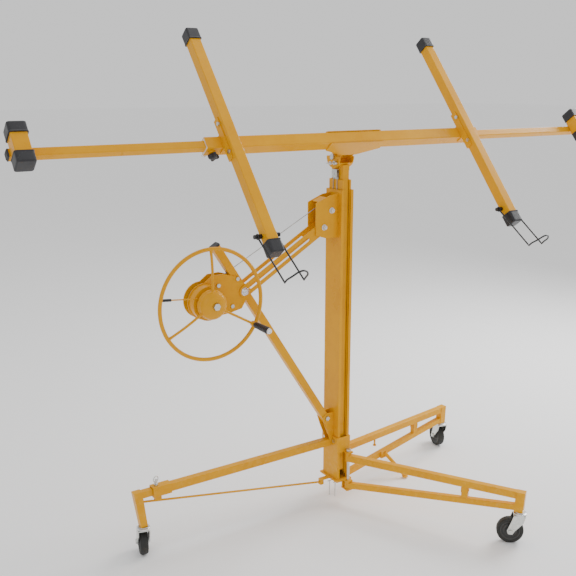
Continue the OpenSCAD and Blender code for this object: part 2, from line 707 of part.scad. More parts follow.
module cradle_beam() color(paint) cradle() {
    half = beam_len / 2;
    difference() {
        union() {
            translate([0, 0, beam_n]) tube_x(beam_s, tube_t, -half, half);
            for (side = [-1, 1]) translate([side * (half - 22), 0, beam_n]) {
                // threaded boss of the outrigger clamp, on the face towards the hooks
                translate([0, -beam_s / 2 - 8, 0]) rotate([-90, 0, 0]) cylinder(r = 12, h = 9);
            }
        }
        for (side = [-1, 1]) translate([side * (half - 22), 0, beam_n]) {
            translate([0, -60, 0]) rotate([-90, 0, 0]) cylinder(r = 5.4, h = 45);
            translate([0, 0, -60]) cylinder(r = 3.4, h = 60);
        }
    }
}

module beam_end_bushes() color("ivory") cradle() for (side = [-1, 1]) difference() {
    translate([side * (beam_len / 2 - 25) - 25, 0, beam_n]) rotate([0, 90, 0])
        linear_extrude(50) rrect(beam_s - 2 * tube_t, beam_s - 2 * tube_t, 0.8);
    translate([side * (beam_len / 2 - 25) - 26, 0, beam_n]) rotate([0, 90, 0])
        linear_extrude(52) rrect(outrigger_s + 0.6, outrigger_s + 0.6, 3.2);
    translate([side * (beam_len / 2 - 22), -60, beam_n]) rotate([-90, 0, 0]) cylinder(r = 5.4, h = 45);
    translate([side * (beam_len / 2 - 22), 0, beam_n - 60]) cylinder(r = 3.4, h = 60);
}

module arm_saddles() color(paint) cradle() for (side = [-1, 1]) translate([side * arm_x, 0, 0]) {
    low = beam_n + beam_s / 2;
    difference() {
        union() {
            translate([-arm_s / 2 - 4, -80, low]) cube([arm_s + 8, 160, saddle_t]);
            for (x = [-arm_s / 2 - 4, arm_s / 2 + slack]) translate([x, -80, low + saddle_t]) cube([4 - slack, 160, 24]);
            // legs that reach down the faces of the beam
            for (v = [-beam_s / 2 - 4, beam_s / 2]) translate([-arm_s / 2 - 4, v, low - 30]) cube([arm_s + 8, 4, 30]);
        }
        for (v = [-55, 55]) translate([-60, v, arm_n]) rotate([0, 90, 0]) cylinder(r = 4.2, h = 120);
    }
}

module cross_arm(side) color(paint) cradle() translate([side * arm_x, 0, arm_n]) difference() {
    rotate([-90, 0, 0]) translate([0, 0, -arm_half]) tube(arm_s, arm_s, 2, 2 * arm_half);
    for (v = [-55, 55]) translate([-60, v, 0]) rotate([0, 90, 0]) cylinder(r = 4.2, h = 120);
    translate([-60, hook_v, hook_n - arm_n]) rotate([0, 90, 0]) cylinder(r = 4.2, h = 120);
}
module cross_arm_left() cross_arm(-1);
module cross_arm_right() cross_arm(1);

// A moulded cap over the end of a tube of side s, whose end face is at z = 0 and body below
module cap(s) difference() {
    translate([0, 0, -cap_len]) linear_extrude(cap_len + cap_t) rrect(s + 2 * cap_t, s + 2 * cap_t, 4.5);
    translate([0, 0, -cap_len - 1]) linear_extrude(cap_len + 1) rrect(s, s, 3);
}

module arm_end_caps() color(dark_plastic) cradle() for (side = [-1, 1], end = [-1, 1])
    translate([side * arm_x, end * arm_half, arm_n]) rotate([-90 * end, 0, 0]) cap(arm_s);

module arm_bolts() color(steel) cradle() {
    for (side = [-1, 1], v = [-55, 55])
        bolt_x([side * arm_x, v, arm_n], 4, -arm_s / 2 - 4, arm_s / 2 + 4);
}

// Pivot bolts of the hooks, with the clips that stand them off the sides of the arms
module hook_pivots() color(dark_plastic) cradle() for (side = [-1, 1]) translate([side * arm_x, hook_v, hook_n])
    rotate([0, 90, 0]) {
        translate([0, 0, -hook_hw - 8]) cylinder(r = 4, h = 2 * hook_hw + 16);
        for (z = [-hook_hw - 12, hook_hw + 8]) translate([0, 0, z]) cylinder(r = 7, h = 4);
        for (z = [-hook_hw + 5, arm_s / 2]) translate([0, 0, z]) cylinder(r = 8, h = hook_hw - 5 - arm_s / 2);
    }

module outrigger(side) color(paint) cradle() difference() {
    union() {
        translate([0, 0, beam_n]) tube_x(outrigger_s, 2, side > 0 ? outrigger_in : -outrigger_x, side > 0 ? outrigger_x : -outrigger_in);
        // end support, a short piece of arm tube on a riser
        translate([side * pad_x, -pad_half, pad_n]) rotate([-90, 0, 0]) tube(pad_s, pad_s, 2, 2 * pad_half);
        translate([side * pad_x - 20, -30, beam_n + outrigger_s / 2])
            cube([40, 60, pad_n - pad_s / 2 - beam_n - outrigger_s / 2]);
        // guide block at the inner end
        translate([side * (outrigger_in + 15) - 15, 0, beam_n]) rotate([0, 90, 0]) difference() {
            linear_extrude(30) rrect(beam_s - 2 * tube_t - 0.7, beam_s - 2 * tube_t - 0.7, 1);
            translate([0, 0, -1]) linear_extrude(32) rrect(outrigger_s - 1, outrigger_s - 1, 2);
        }
    }
}
module outrigger_left() outrigger(-1);
module outrigger_right() outrigger(1);

module end_caps(side) color(dark_plastic) cradle() {
    for (end = [-1, 1]) translate([side * pad_x, end * pad_half, pad_n]) rotate([-90 * end, 0, 0]) difference() {
        translate([0, 0, -34]) linear_extrude(34 + cap_t) rrect(pad_s + 2 * cap_t, pad_s + 2 * cap_t, 4.5);
        translate([0, 0, -35]) linear_extrude(35) rrect(pad_s, pad_s, 3);
    }
    translate([side * outrigger_x, 0, beam_n]) rotate([0, 90 * side, 0]) {
        linear_extrude(5) rrect(outrigger_s + 2, outrigger_s + 2, 3.5);
        translate([0, 0, -15]) linear_extrude(15) rrect(outrigger_s - 4.4, outrigger_s - 4.4, 1);
    }
}
module end_caps_left() end_caps(-1);
module end_caps_right() end_caps(1);

// A wire hook, about its pivot: two straight wires rise from the arm and end in an arch
module hook(side) color(dark_plastic) cradle() translate([side * arm_x, hook_v, hook_n]) rotate([-hook_rise, 0, 0]) {
    difference() {
        union() {
            for (s = [-1, 1]) {
                translate([s * hook_hw, 0, 0]) rotate([0, 90, 0]) cylinder(r = 8, h = 2 * wire_r, center = true);
                rod([s * hook_hw, 26, 0], [s * hook_hw, -hook_len, 0], wire_r);
                translate([s * hook_hw, -hook_len, 0]) sphere(wire_r, $fn = 24);
                rod([s * hook_hw, -hook_len, 0], [s * hook_hw, -hook_len, hook_arch - hook_hw], wire_r);
                translate([s * hook_hw, 26, 0]) sphere(wire_r, $fn = 24);
            }
            translate([0, -hook_len, hook_arch - hook_hw]) rotate([90, 0, 0])
                rotate_extrude(angle = 180) translate([hook_hw, 0]) circle(wire_r, $fn = 24);
        }
        translate([-60, 0, 0]) rotate([0, 90, 0]) cylinder(r = 4.06, h = 120);
    }
}
module hook_left() hook(-1);
module hook_right() hook(1);

// Clamp knob with four lobes, on a stud that presses the outrigger
module clamp_knob(side) color(dark_plastic) cradle() translate([side * (beam_len / 2 - 22), 0, beam_n]) rotate([90, 0, 0]) {
    translate([0, 0, outrigger_s / 2 + 1.2]) cylinder(r = 5, h = 32);
    translate([0, 0, beam_s / 2 + 10]) cylinder(r = 11, h = 18);
    for (a = [0, 90, 180, 270]) rotate([0, 0, a]) translate([13, 0, beam_s / 2 + 12]) cylinder(r = 7, h = 14);
}
// Spring pins that lock the outriggers, drawn back, each with a pull ring
module outrigger_pins() color(steel) cradle() for (side = [-1, 1]) translate([side * (beam_len / 2 - 22), 0, 0]) {
    translate([0, 0, beam_n - 44]) cylinder(r = 3, h = 26);
    translate([0, 0, beam_n - beam_s / 2 - 12]) cylinder(r = 7, h = 12);
    translate([0, 0, beam_n - 51]) rotate([90, 0, 0]) ring(9, 1.6);
}

module clamp_knob_left() clamp_knob(-1);
module clamp_knob_right() clamp_knob(1);

mast_stage1();
stage1_glides();
base_bracket();
leg_collar();
pulley_housing();
strut();
strut_end_cap();
tie_links();
winch_frame();
brake_housing();
frame_bolts();
lift_cable();
left_leg();
left_leg_end();
left_leg_rod();
leg_pins();
mast_stage2();
stage2_glides();
stage2_pulley_bracket();
stage_cable();
mast_stage3();
stage3_glides();
mast_head();
tilt_bolt();
tilt_lock_pin();
tilt_bracket();
cradle_beam();
beam_end_bushes();
arm_saddles();
cross_arm_left();
cross_arm_right();
arm_end_caps();
arm_bolts();
hook_pivots();
outrigger_left();
end_caps_left();
outrigger_right();
end_caps_right();
hook_left();
hook_right();
clamp_knob_left();
clamp_knob_right();
outrigger_pins();
hand_wheel();
cable_drum();
winch_shaft();
crank_grip();
brake_lever();
brake_lever_grip();
mast_pulley();
stage2_pulley();
leg_right();
leg_rear();
leg_stand();
caster_fork_left();
caster_wheel_left();
caster_fork_right();
caster_wheel_right();
caster_fork_rear();
caster_wheel_rear();
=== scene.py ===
"""Looks of a drywall lift: finishes for its frame, and the turned, swept and moulded pieces."""
import json
import math

import bmesh
import bpy
import numpy as np
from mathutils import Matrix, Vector


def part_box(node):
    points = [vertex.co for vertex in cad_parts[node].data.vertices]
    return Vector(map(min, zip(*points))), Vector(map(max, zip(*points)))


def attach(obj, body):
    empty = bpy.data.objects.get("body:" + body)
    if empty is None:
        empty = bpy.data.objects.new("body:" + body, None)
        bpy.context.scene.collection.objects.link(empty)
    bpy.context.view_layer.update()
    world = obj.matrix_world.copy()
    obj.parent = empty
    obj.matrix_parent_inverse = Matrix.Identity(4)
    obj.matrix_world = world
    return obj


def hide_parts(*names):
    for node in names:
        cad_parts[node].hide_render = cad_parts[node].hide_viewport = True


bl_info = {
    "name": "Drywall Lift",
    "version": (1, 0, 0),
    "blender": (4, 5, 0),
    "location": "View3D > Sidebar > Drywall Lift",
    "description": "Finishes and detail pieces of a drywall lift with a winch and a tilting cradle",
    "category": "Object",
}

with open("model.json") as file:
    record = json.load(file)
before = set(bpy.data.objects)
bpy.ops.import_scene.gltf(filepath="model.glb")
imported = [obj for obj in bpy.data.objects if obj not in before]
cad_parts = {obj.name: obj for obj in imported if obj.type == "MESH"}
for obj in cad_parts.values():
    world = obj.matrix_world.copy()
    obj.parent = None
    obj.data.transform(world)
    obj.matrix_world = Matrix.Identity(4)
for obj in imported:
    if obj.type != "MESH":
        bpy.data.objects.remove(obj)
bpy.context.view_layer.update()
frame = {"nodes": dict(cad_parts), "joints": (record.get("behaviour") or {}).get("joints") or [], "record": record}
JOINTS = {joint["name"]: joint for joint in frame["joints"]}
MOUNTS = {mount["name"]: mount for mount in frame["record"]["mounts"]}
X_AXIS, Y_AXIS, Z_AXIS = np.eye(3)


def joint_point(name):
    """Where a joint turns, in metres."""
    return np.array(JOINTS[name]["pos_m"], float)


def joint_axis(name):
    """The direction a joint turns about."""
    return np.array(JOINTS[name]["axis"], float)


def node_box(name):
    """Lowest and highest corner of a frame node, as arrays."""
    low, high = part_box(name)
    return np.array(low, float), np.array(high, float)


WINCH = joint_point("winch_turn")
FRONT = -Y_AXIS
PIVOT = joint_point("cradle_tilt")
BOARD_NORMAL = np.array(MOUNTS["board_rest_left_upper"]["axis"], float)
ALONG_ARM = np.array([0.0, BOARD_NORMAL[2], -BOARD_NORMAL[1]])
SIDES = (("left", -1.0), ("right", 1.0))
CASTERS = ("left", "right", "rear")
PAD_MOUNT = 0.051
KNOB_REACH = 0.030


# ---- sizes and colours a user would change ----

def colour_setting(name, description, colour):
    """A colour the user can pick."""
    return bpy.props.FloatVectorProperty(
        name=name, description=description, subtype="COLOR", size=3, min=0, max=1, default=colour)


def length_setting(name, description, length):
    """A length the user can set, in metres."""
    return bpy.props.FloatProperty(name=name, description=description, unit="LENGTH", default=length)


class LiftFinish(bpy.types.PropertyGroup):
    """Colours and wear of the lift's materials."""
    paint: colour_setting("Paint", "Colour of the powder coat on the tubes and plates", (0.76, 0.360, 0.0))
    paint_deep: colour_setting(
        "Paint, deeper", "Colour of the powder coat where it lies thicker", (0.68, 0.300, 0.0))
    plastic: colour_setting("Plastic", "Colour of the moulded caps, grips and knobs", (0.014, 0.014, 0.018))
    zinc: colour_setting("Zinc", "Colour of the plated forks, bolts and pins", (0.66, 0.67, 0.64))
    rubber: colour_setting("Rubber", "Colour of the caster tyres", (0.018, 0.018, 0.015))
    chips: bpy.props.FloatProperty(
        name="Chips", description="Share of the paint that is chipped through to the primer",
        subtype="FACTOR", min=0, max=1, default=0.10)


class LiftSizes(bpy.types.PropertyGroup):
    """Sizes of the turned, swept and moulded pieces."""
    rim_radius: length_setting("Rim radius", "Middle of the hand wheel's rim tube", 0.197)
    rim_tube: length_setting("Rim tube", "Radius of the rim's round tube", 0.007)
    spoke_radius: length_setting("Spoke radius", "Radius of a spoke at its middle", 0.0047)
    hub_radius: length_setting("Hub radius", "Outer radius of the wheel's domed hub", 0.054)
    cable_radius: length_setting("Cable radius", "Radius of the wire cable", 0.0016)
    tyre_radius: length_setting("Tyre radius", "Outer radius of a caster wheel", 0.050)
    tyre_width: length_setting("Tyre width", "Width of a caster tyre", 0.030)
    cap_wall: length_setting("Cap wall", "Wall of the moulded tube caps", 0.004)
    weld_radius: length_setting("Weld radius", "Radius of the weld beads", 0.0022)


# ---- surfaces ----

def unit(vector):
    """The vector scaled to length one."""
    vector = np.asarray(vector, float)
    return vector / np.linalg.norm(vector)


def square_to(axis):
    """Two unit vectors at right angles to axis and to each other."""
    axis = unit(axis)
    helper = Z_AXIS if abs(axis[2]) < 0.9 else X_AXIS
    first = unit(np.cross(helper, axis))
    return first, np.cross(axis, first)


def turn(count):
    """Angles of one full turn, without the repeated end."""
    return np.linspace(0, 2 * math.pi, count, endpoint=False)


def softened(corners, radius, steps=5):
    """A polyline with each inner corner c replaced by the curve
    (1-t)^2 a + 2t(1-t) c + t^2 b, where a and b lie at most radius away on its two sides."""
    corners = np.asarray(corners, float)
    middle = corners[1:-1]
    back, ahead = corners[:-2] - middle, corners[2:] - middle
    back_len = np.linalg.norm(back, axis=1, keepdims=True)
    ahead_len = np.linalg.norm(ahead, axis=1, keepdims=True)
    start = middle + back * np.minimum(radius / back_len, 0.48)
    end = middle + ahead * np.minimum(radius / ahead_len, 0.48)
    t = np.linspace(0, 1, steps)[None, :, None]
    curves = ((1 - t) ** 2 * start[:, None] + 2 * t * (1 - t) * middle[:, None]
              + t ** 2 * end[:, None])
    return np.vstack([corners[:1], curves.reshape(-1, corners.shape[1]), corners[-1:]])


def revolved(profile, origin, axis, segments=64):
    """Surface of revolution: origin + h(i) axis + r(i) (cos t u + sin t w), rows (r, h) in profile."""
    first, second = square_to(axis)
    t = turn(segments)[None, :, None]
    radius, height = profile[:, 0][:, None, None], profile[:, 1][:, None, None]
    return origin + height * unit(axis) + radius * (np.cos(t) * first + np.sin(t) * second)


def swept(path, radius, normal, sides=16, closed=False):
    """Tube round a path that lies in the plane with this normal:
    p(s) + r(s) (cos t side(s) + sin t normal), side being at right angles to path and normal."""
    path = np.asarray(path, float)
    if closed:
        ahead = np.roll(path, -1, 0) - np.roll(path, 1, 0)
    else:
        ahead = np.gradient(path, axis=0)
    ahead = ahead / np.linalg.norm(ahead, axis=1, keepdims=True)
    normal = unit(normal)
    side = np.cross(ahead, normal)
    side = side / np.linalg.norm(side, axis=1, keepdims=True)
    radius = np.broadcast_to(np.asarray(radius, float), (len(path),))[:, None, None]
    t = turn(sides)[None, :, None]
    return path[:, None] + radius * (np.cos(t) * side[:, None] + np.sin(t) * normal)


def framed_tube(path, radius, sides=12):
    """Tube round a path that bends in more than one plane: p(s) + r (cos t a(s) + sin t b(s)).
    a(s) is a fixed direction, one that no wire here runs along, less its part along the path."""
    ahead = np.gradient(path, axis=0)
    ahead = ahead / np.linalg.norm(ahead, axis=1, keepdims=True)
    fixed = unit((1.0, 0.9, 1.1))
    first = fixed - (ahead @ fixed)[:, None] * ahead
    first = first / np.linalg.norm(first, axis=1, keepdims=True)
    second = np.cross(ahead, first)
    t = turn(sides)[None, :, None]
    return path[:, None] + radius * (np.cos(t) * first[:, None] + np.sin(t) * second[:, None])


def straight(start, end, count):
    """Points at equal steps from start to end."""
    t = np.linspace(0, 1, count)[:, None]
    return np.asarray(start, float) * (1 - t) + np.asarray(end, float) * t


def superellipse(count, power):
    """Points (x, y) with |x|^power + |y|^power = 1, a square with rounded corners."""
    t = turn(count)
    c, s = np.cos(t), np.sin(t)
    return np.sign(c) * np.abs(c) ** (2 / power), np.sign(s) * np.abs(s) ** (2 / power)


class Shape:
    """Gathers grids of points, then makes one mesh of them."""

    def __init__(self):
        self.points = []
        self.faces = []
        self.count = 0

    def grid(self, points, ring=False):
        """Adds a grid closed round its second direction. With ring it closes round its first too,
        otherwise each end gets a face."""
        rows, columns = points.shape[:2]
        index = self.count + np.arange(rows * columns).reshape(rows, columns)
        low = index if ring else index[:-1]
        high = np.roll(index, -1, 0) if ring else index[1:]
        quads = np.stack([low, np.roll(low, -1, 1), np.roll(high, -1, 1), high], -1)
        self.faces += quads.reshape(-1, 4).tolist()
        if not ring:
            self.faces += [index[0][::-1].tolist(), index[-1].tolist()]
        self.points.append(points.reshape(-1, 3))
        self.count += rows * columns
        return self

    def build(self, name, body, slot, material, sharp=40):
        """Makes the object, closes its poles, turns its faces outwards and rides it on a body.
        Edges sharper than the angle sharp, in degrees, stay crisp."""
        mesh = bpy.data.meshes.new(name)
        mesh.from_pydata(np.vstack(self.points).tolist(), [], self.faces)
        work = bmesh.new()
        work.from_mesh(mesh)
        bmesh.ops.remove_doubles(work, verts=work.verts, dist=1e-6)
        bmesh.ops.dissolve_degenerate(work, edges=work.edges, dist=1e-7)
        bmesh.ops.recalc_face_normals(work, faces=work.faces)
        work.to_mesh(mesh)
        work.free()
        mesh.shade_smooth()
        mesh.set_sharp_from_angle(angle=math.radians(sharp))
        mesh.materials.append(material)
        piece = bpy.data.objects.new(name, mesh)
        bpy.context.scene.collection.objects.link(piece)
        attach(piece, body)
        return piece


def hex_nut(origin, axis, across, height):
    """A nut with rounded ends: a hexagon r(t) = a / cos(t mod 60 - 30) cut down to a circle
    that shrinks towards both faces."""
    t = turn(48)
    flat = across / 2 / np.cos(np.mod(t, math.pi / 3) - math.pi / 6)
    corner = across / 2 / math.cos(math.pi / 6)
    level = np.array([0, 0, 0.1, 0.2, 0.8, 0.9, 1, 1])
    limit = corner * np.array([0, 0.88, 0.95, 1.0, 1.0, 0.95, 0.88, 0])
    radius = np.minimum(flat[None], limit[:, None])
    first, second = square_to(axis)
    around = np.cos(t)[None, :, None] * first + np.sin(t)[None, :, None] * second
    return origin + (level * height)[:, None, None] * unit(axis) + radius[..., None] * around


def washer(origin, axis, outer, bore, height):
    """A flat ring with rounded edges, a closed loop turned round the axis."""
    loop = np.array([[bore, 0], [outer - 0.0005, 0], [outer, 0.0005], [outer, height - 0.0005],
                     [outer - 0.0005, height], [bore, height]])
    return revolved(loop, origin, axis, 48)


def weld_bead(start, end, radius, normal):
    """A rippled bead: a straight tube of radius r (1 + 0.16 |sin(pi s / 4 mm)|) that tapers at its ends."""
    length = float(np.linalg.norm(np.asarray(end) - np.asarray(start)))
    count = max(int(length / 0.0013), 8)
    s = np.linspace(0, length, count)
    ripple = 1 + 0.16 * np.abs(np.sin(math.pi * s / 0.004))
    taper = np.clip(np.minimum(s, length - s) / 0.004, 0.2, 1) ** 0.5
    return swept(straight(start, end, count), radius * ripple * taper, normal, 8)


# ---- shader node groups ----

def new_group(name, inputs, outputs):
    """A shader node group with float inputs (name, default) and float outputs."""
    group = bpy.data.node_groups.new(name, "ShaderNodeTree")
    for label, value in inputs:
        socket = group.interface.new_socket(name=label, in_out="INPUT", socket_type="NodeSocketFloat")
        socket.default_value = value
    for label in outputs:
        group.interface.new_socket(name=label, in_out="OUTPUT", socket_type="NodeSocketFloat")
    start = group.nodes.new("NodeGroupInput")
    end = group.nodes.new("NodeGroupOutput")
    return group, start, end


def noise(tree, coords, scale, detail=3.0, roughness=0.55, distortion=0.0):
    """A noise texture on the object's own coordinates. Scale is a number or a socket."""
    node = tree.nodes.new("ShaderNodeTexNoise")
    tree.links.new(coords, node.inputs["Vector"])
    if isinstance(scale, (int, float)):
        node.inputs["Scale"].default_value = scale
    else:
        tree.links.new(scale, node.inputs["Scale"])
    node.inputs["Detail"].default_value = detail
    node.inputs["Roughness"].default_value = roughness
    node.inputs["Distortion"].default_value = distortion
    return node.outputs["Fac"]


def mapped(tree, value, low, high, to_low, to_high):
    """Maps low..high onto to_low..to_high, clamped. Any of them may be a socket."""
    node = tree.nodes.new("ShaderNodeMapRange")
    tree.links.new(value, node.inputs["Value"])
    ends = (("From Min", low), ("From Max", high), ("To Min", to_low), ("To Max", to_high))
    for label, number in ends:
        if isinstance(number, (int, float)):
            node.inputs[label].default_value = number
        else:
            tree.links.new(number, node.inputs[label])
    return node.outputs["Result"]


def arithmetic(tree, operation, first, second):
    """One Math node on two sockets or numbers."""
    node = tree.nodes.new("ShaderNodeMath")
    node.operation = operation
    for socket, value in zip(node.inputs, (first, second)):
        if isinstance(value, (int, float)):
            socket.default_value = value
        else:
            tree.links.new(value, socket)
    return node.outputs[0]


def object_coords(tree):
    """The object's own coordinates."""
    return tree.nodes.new("ShaderNodeTexCoord").outputs["Object"]


def finished(group, end, **values):
    """Links each value to the group's output of that name and gives the group back."""
    for label, value in values.items():
        group.links.new(value, end.inputs[label.replace("_", " ")])
    return group


def powder_coat_group():
    """Orange peel, cloudy tone, chips through to primer, and dust low on the lift."""
    group, start, end = new_group(
        "Powder Coat Surface", (("Peel Scale", 420.0), ("Chips", 0.2)),
        ("Height", "Tone", "Chip Mask", "Dust", "Roughness"))
    coords = object_coords(group)
    peel = noise(group, coords, start.outputs["Peel Scale"], 2.0, 0.4)
    cloud = noise(group, coords, 7.0, 4.0, 0.6)
    fine = noise(group, coords, 60.0, 5.0, 0.65)
    spots = noise(group, coords, 90.0, 5.0, 0.72, 0.4)
    threshold = mapped(group, start.outputs["Chips"], 0.0, 1.0, 0.80, 0.60)
    edge = arithmetic(group, "ADD", threshold, 0.02)
    chips = mapped(group, spots, threshold, edge, 0.0, 1.0)
    split = group.nodes.new("ShaderNodeSeparateXYZ")
    group.links.new(coords, split.inputs[0])
    low = mapped(group, split.outputs["Z"], 0.02, 0.55, 1.0, 0.0)
    dust = arithmetic(group, "MULTIPLY", low, mapped(group, fine, 0.50, 0.80, 0.0, 0.30))
    tone = mapped(group, arithmetic(group, "ADD", arithmetic(group, "MULTIPLY", cloud, 0.7),
                                    arithmetic(group, "MULTIPLY", fine, 0.3)), 0.35, 0.65, 0.0, 1.0)
    rough = arithmetic(group, "ADD", mapped(group, cloud, 0.3, 0.7, 0.24, 0.38),
                       arithmetic(group, "MULTIPLY", arithmetic(group, "ADD", chips, dust), 0.25))
    height = arithmetic(group, "SUBTRACT", arithmetic(group, "MULTIPLY", peel, 0.5),
                        arithmetic(group, "MULTIPLY", chips, 1.2))
    return finished(group, end, Height=height, Tone=tone, Chip_Mask=chips, Dust=dust, Roughness=rough)


def metal_group():
    """Crystal spangle, cloudy tone and fine brush marks of plated or polished steel."""
    group, start, end = new_group(
        "Plated Steel Surface", (("Spangle Scale", 160.0), ("Base Roughness", 0.3)),
        ("Height", "Tone", "Roughness"))
    coords = object_coords(group)
    cells = group.nodes.new("ShaderNodeTexVoronoi")
    group.links.new(coords, cells.inputs["Vector"])
    group.links.new(start.outputs["Spangle Scale"], cells.inputs["Scale"])
    cloud = noise(group, coords, 25.0, 5.0, 0.6)
    fine = noise(group, coords, 700.0, 2.0, 0.5)
    tone = mapped(group, arithmetic(group, "ADD",
                                    arithmetic(group, "MULTIPLY", cells.outputs["Distance"], 0.4),
                                    arithmetic(group, "MULTIPLY", cloud, 0.8)), 0.3, 0.75, 0.0, 1.0)
    rough = arithmetic(group, "ADD", start.outputs["Base Roughness"],
                       mapped(group, cloud, 0.3, 0.7, -0.07, 0.10))
    height = arithmetic(group, "ADD", arithmetic(group, "MULTIPLY", fine, 0.4),
                        arithmetic(group, "MULTIPLY", cells.outputs["Distance"], 0.3))
    return finished(group, end, Height=height, Tone=tone, Roughness=rough)


def moulded_group():
    """Spark texture, scuffs and pale dust of moulded plastic, dipped wire and rubber."""
    group, start, end = new_group(
        "Moulded Surface", (("Grain Scale", 900.0), ("Scuffs", 0.4), ("Base Roughness", 0.45)),
        ("Height", "Tone", "Scuff Mask", "Roughness"))
    coords = object_coords(group)
    grain = noise(group, coords, start.outputs["Grain Scale"], 3.0, 0.6)
    cloud = noise(group, coords, 30.0, 4.0, 0.6)
    marks = noise(group, coords, 75.0, 6.0, 0.75, 1.5)
    scuff = arithmetic(group, "MULTIPLY", mapped(group, marks, 0.56, 0.74, 0.0, 1.0),
                       start.outputs["Scuffs"])
    tone = mapped(group, cloud, 0.35, 0.65, 0.0, 1.0)
    rough = arithmetic(group, "ADD", start.outputs["Base Roughness"],
                       arithmetic(group, "ADD", mapped(group, cloud, 0.3, 0.7, -0.05, 0.08),
                                  arithmetic(group, "MULTIPLY", scuff, 0.2)))
    return finished(group, end, Height=grain, Tone=tone, Scuff_Mask=scuff, Roughness=rough)


GROUPS = {}
MATERIALS = {}


def placed_group(tree, name, maker, values):
    """Puts a shared group in a material with this material's own values."""
    if name not in GROUPS:
        GROUPS[name] = maker()
    node = tree.nodes.new("ShaderNodeGroup")
    node.node_tree = GROUPS[name]
    for label, value in values.items():
        node.inputs[label].default_value = value
    return node


def mixed(tree, factor, first, second):
    """Mixes two colours by a factor socket. A colour is a tuple or a socket."""
    node = tree.nodes.new("ShaderNodeMix")
    node.data_type = "RGBA"
    tree.links.new(factor, node.inputs["Factor"])
    for label, colour in (("A", first), ("B", second)):
        socket = [s for s in node.inputs if s.name == label and s.type == "RGBA"][0]
        if isinstance(colour, tuple):
            socket.default_value = (*colour, 1.0)
        else:
            tree.links.new(colour, socket)
    return [s for s in node.outputs if s.type == "RGBA"][0]


def new_material(name, metallic=0.0, coat=0.0, coat_roughness=0.1, specular=0.5):
    """A material with a Principled BSDF whose constant values are set on its own sockets."""
    material = bpy.data.materials.new(name)
    material.use_nodes = True
    shader = material.node_tree.nodes["Principled BSDF"]
    shader.inputs["Metallic"].default_value = metallic
    shader.inputs["Coat Weight"].default_value = coat
    shader.inputs["Coat Roughness"].default_value = coat_roughness
    shader.inputs["Specular IOR Level"].default_value = specular
    return material, material.node_tree, shader


def bump(tree, shader, height, strength, distance):
    """Feeds a height to the shader's normal."""
    node = tree.nodes.new("ShaderNodeBump")
    node.inputs["Strength"].default_value = strength
    node.inputs["Distance"].default_value = distance
    tree.links.new(height, node.inputs["Height"])
    tree.links.new(node.outputs["Normal"], shader.inputs["Normal"])


def paint_material(name, light, deep, chips, coat):
    """Glossy powder coat with chips to grey primer and a little plaster dust."""
    material, tree, shader = new_material(name, coat=coat, coat_roughness=0.18, specular=0.14)
    surface = placed_group(tree, "Powder Coat Surface", powder_coat_group, {"Chips": chips})
    colour = mixed(tree, surface.outputs["Tone"], deep, light)
    colour = mixed(tree, surface.outputs["Dust"], colour, (0.72, 0.52, 0.22))
    colour = mixed(tree, surface.outputs["Chip Mask"], colour, (0.20, 0.19, 0.18))
    tree.links.new(colour, shader.inputs["Base Color"])
    tree.links.new(surface.outputs["Roughness"], shader.inputs["Roughness"])
    bump(tree, shader, surface.outputs["Height"], 0.16, 0.0004)
    return material


def metal_material(name, light, dark, roughness, spangle):
    """Bright steel with a cloudy plated tone."""
    material, tree, shader = new_material(name, metallic=1.0)
    surface = placed_group(tree, "Plated Steel Surface", metal_group,
                           {"Base Roughness": roughness, "Spangle Scale": spangle})
    tree.links.new(mixed(tree, surface.outputs["Tone"], dark, light), shader.inputs["Base Color"])
    tree.links.new(surface.outputs["Roughness"], shader.inputs["Roughness"])
    bump(tree, shader, surface.outputs["Height"], 0.12, 0.0003)
    return material


def moulded_material(name, colour, worn, roughness, scuffs, grain, depth=0.0003):
    """Moulded plastic, dipped wire or rubber with scuffs that show paler."""
    material, tree, shader = new_material(name)
    surface = placed_group(tree, "Moulded Surface", moulded_group,
                           {"Base Roughness": roughness, "Scuffs": scuffs, "Grain Scale": grain})
    deeper = tuple(0.75 * part for part in colour)
    tone = mixed(tree, surface.outputs["Tone"], deeper, colour)
    tree.links.new(mixed(tree, surface.outputs["Scuff Mask"], tone, worn), shader.inputs["Base Color"])
    tree.links.new(surface.outputs["Roughness"], shader.inputs["Roughness"])
    bump(tree, shader, surface.outputs["Height"], 0.35, depth)
    return material


NODE_FINISH = {
    "yellow_paint": "paint", "zinc_steel": "zinc", "steel_cable": "cable", "black_plastic": "plastic",
    "black_wire": "wire", "nylon": "nylon", "caster_rubber": "rubber",
}


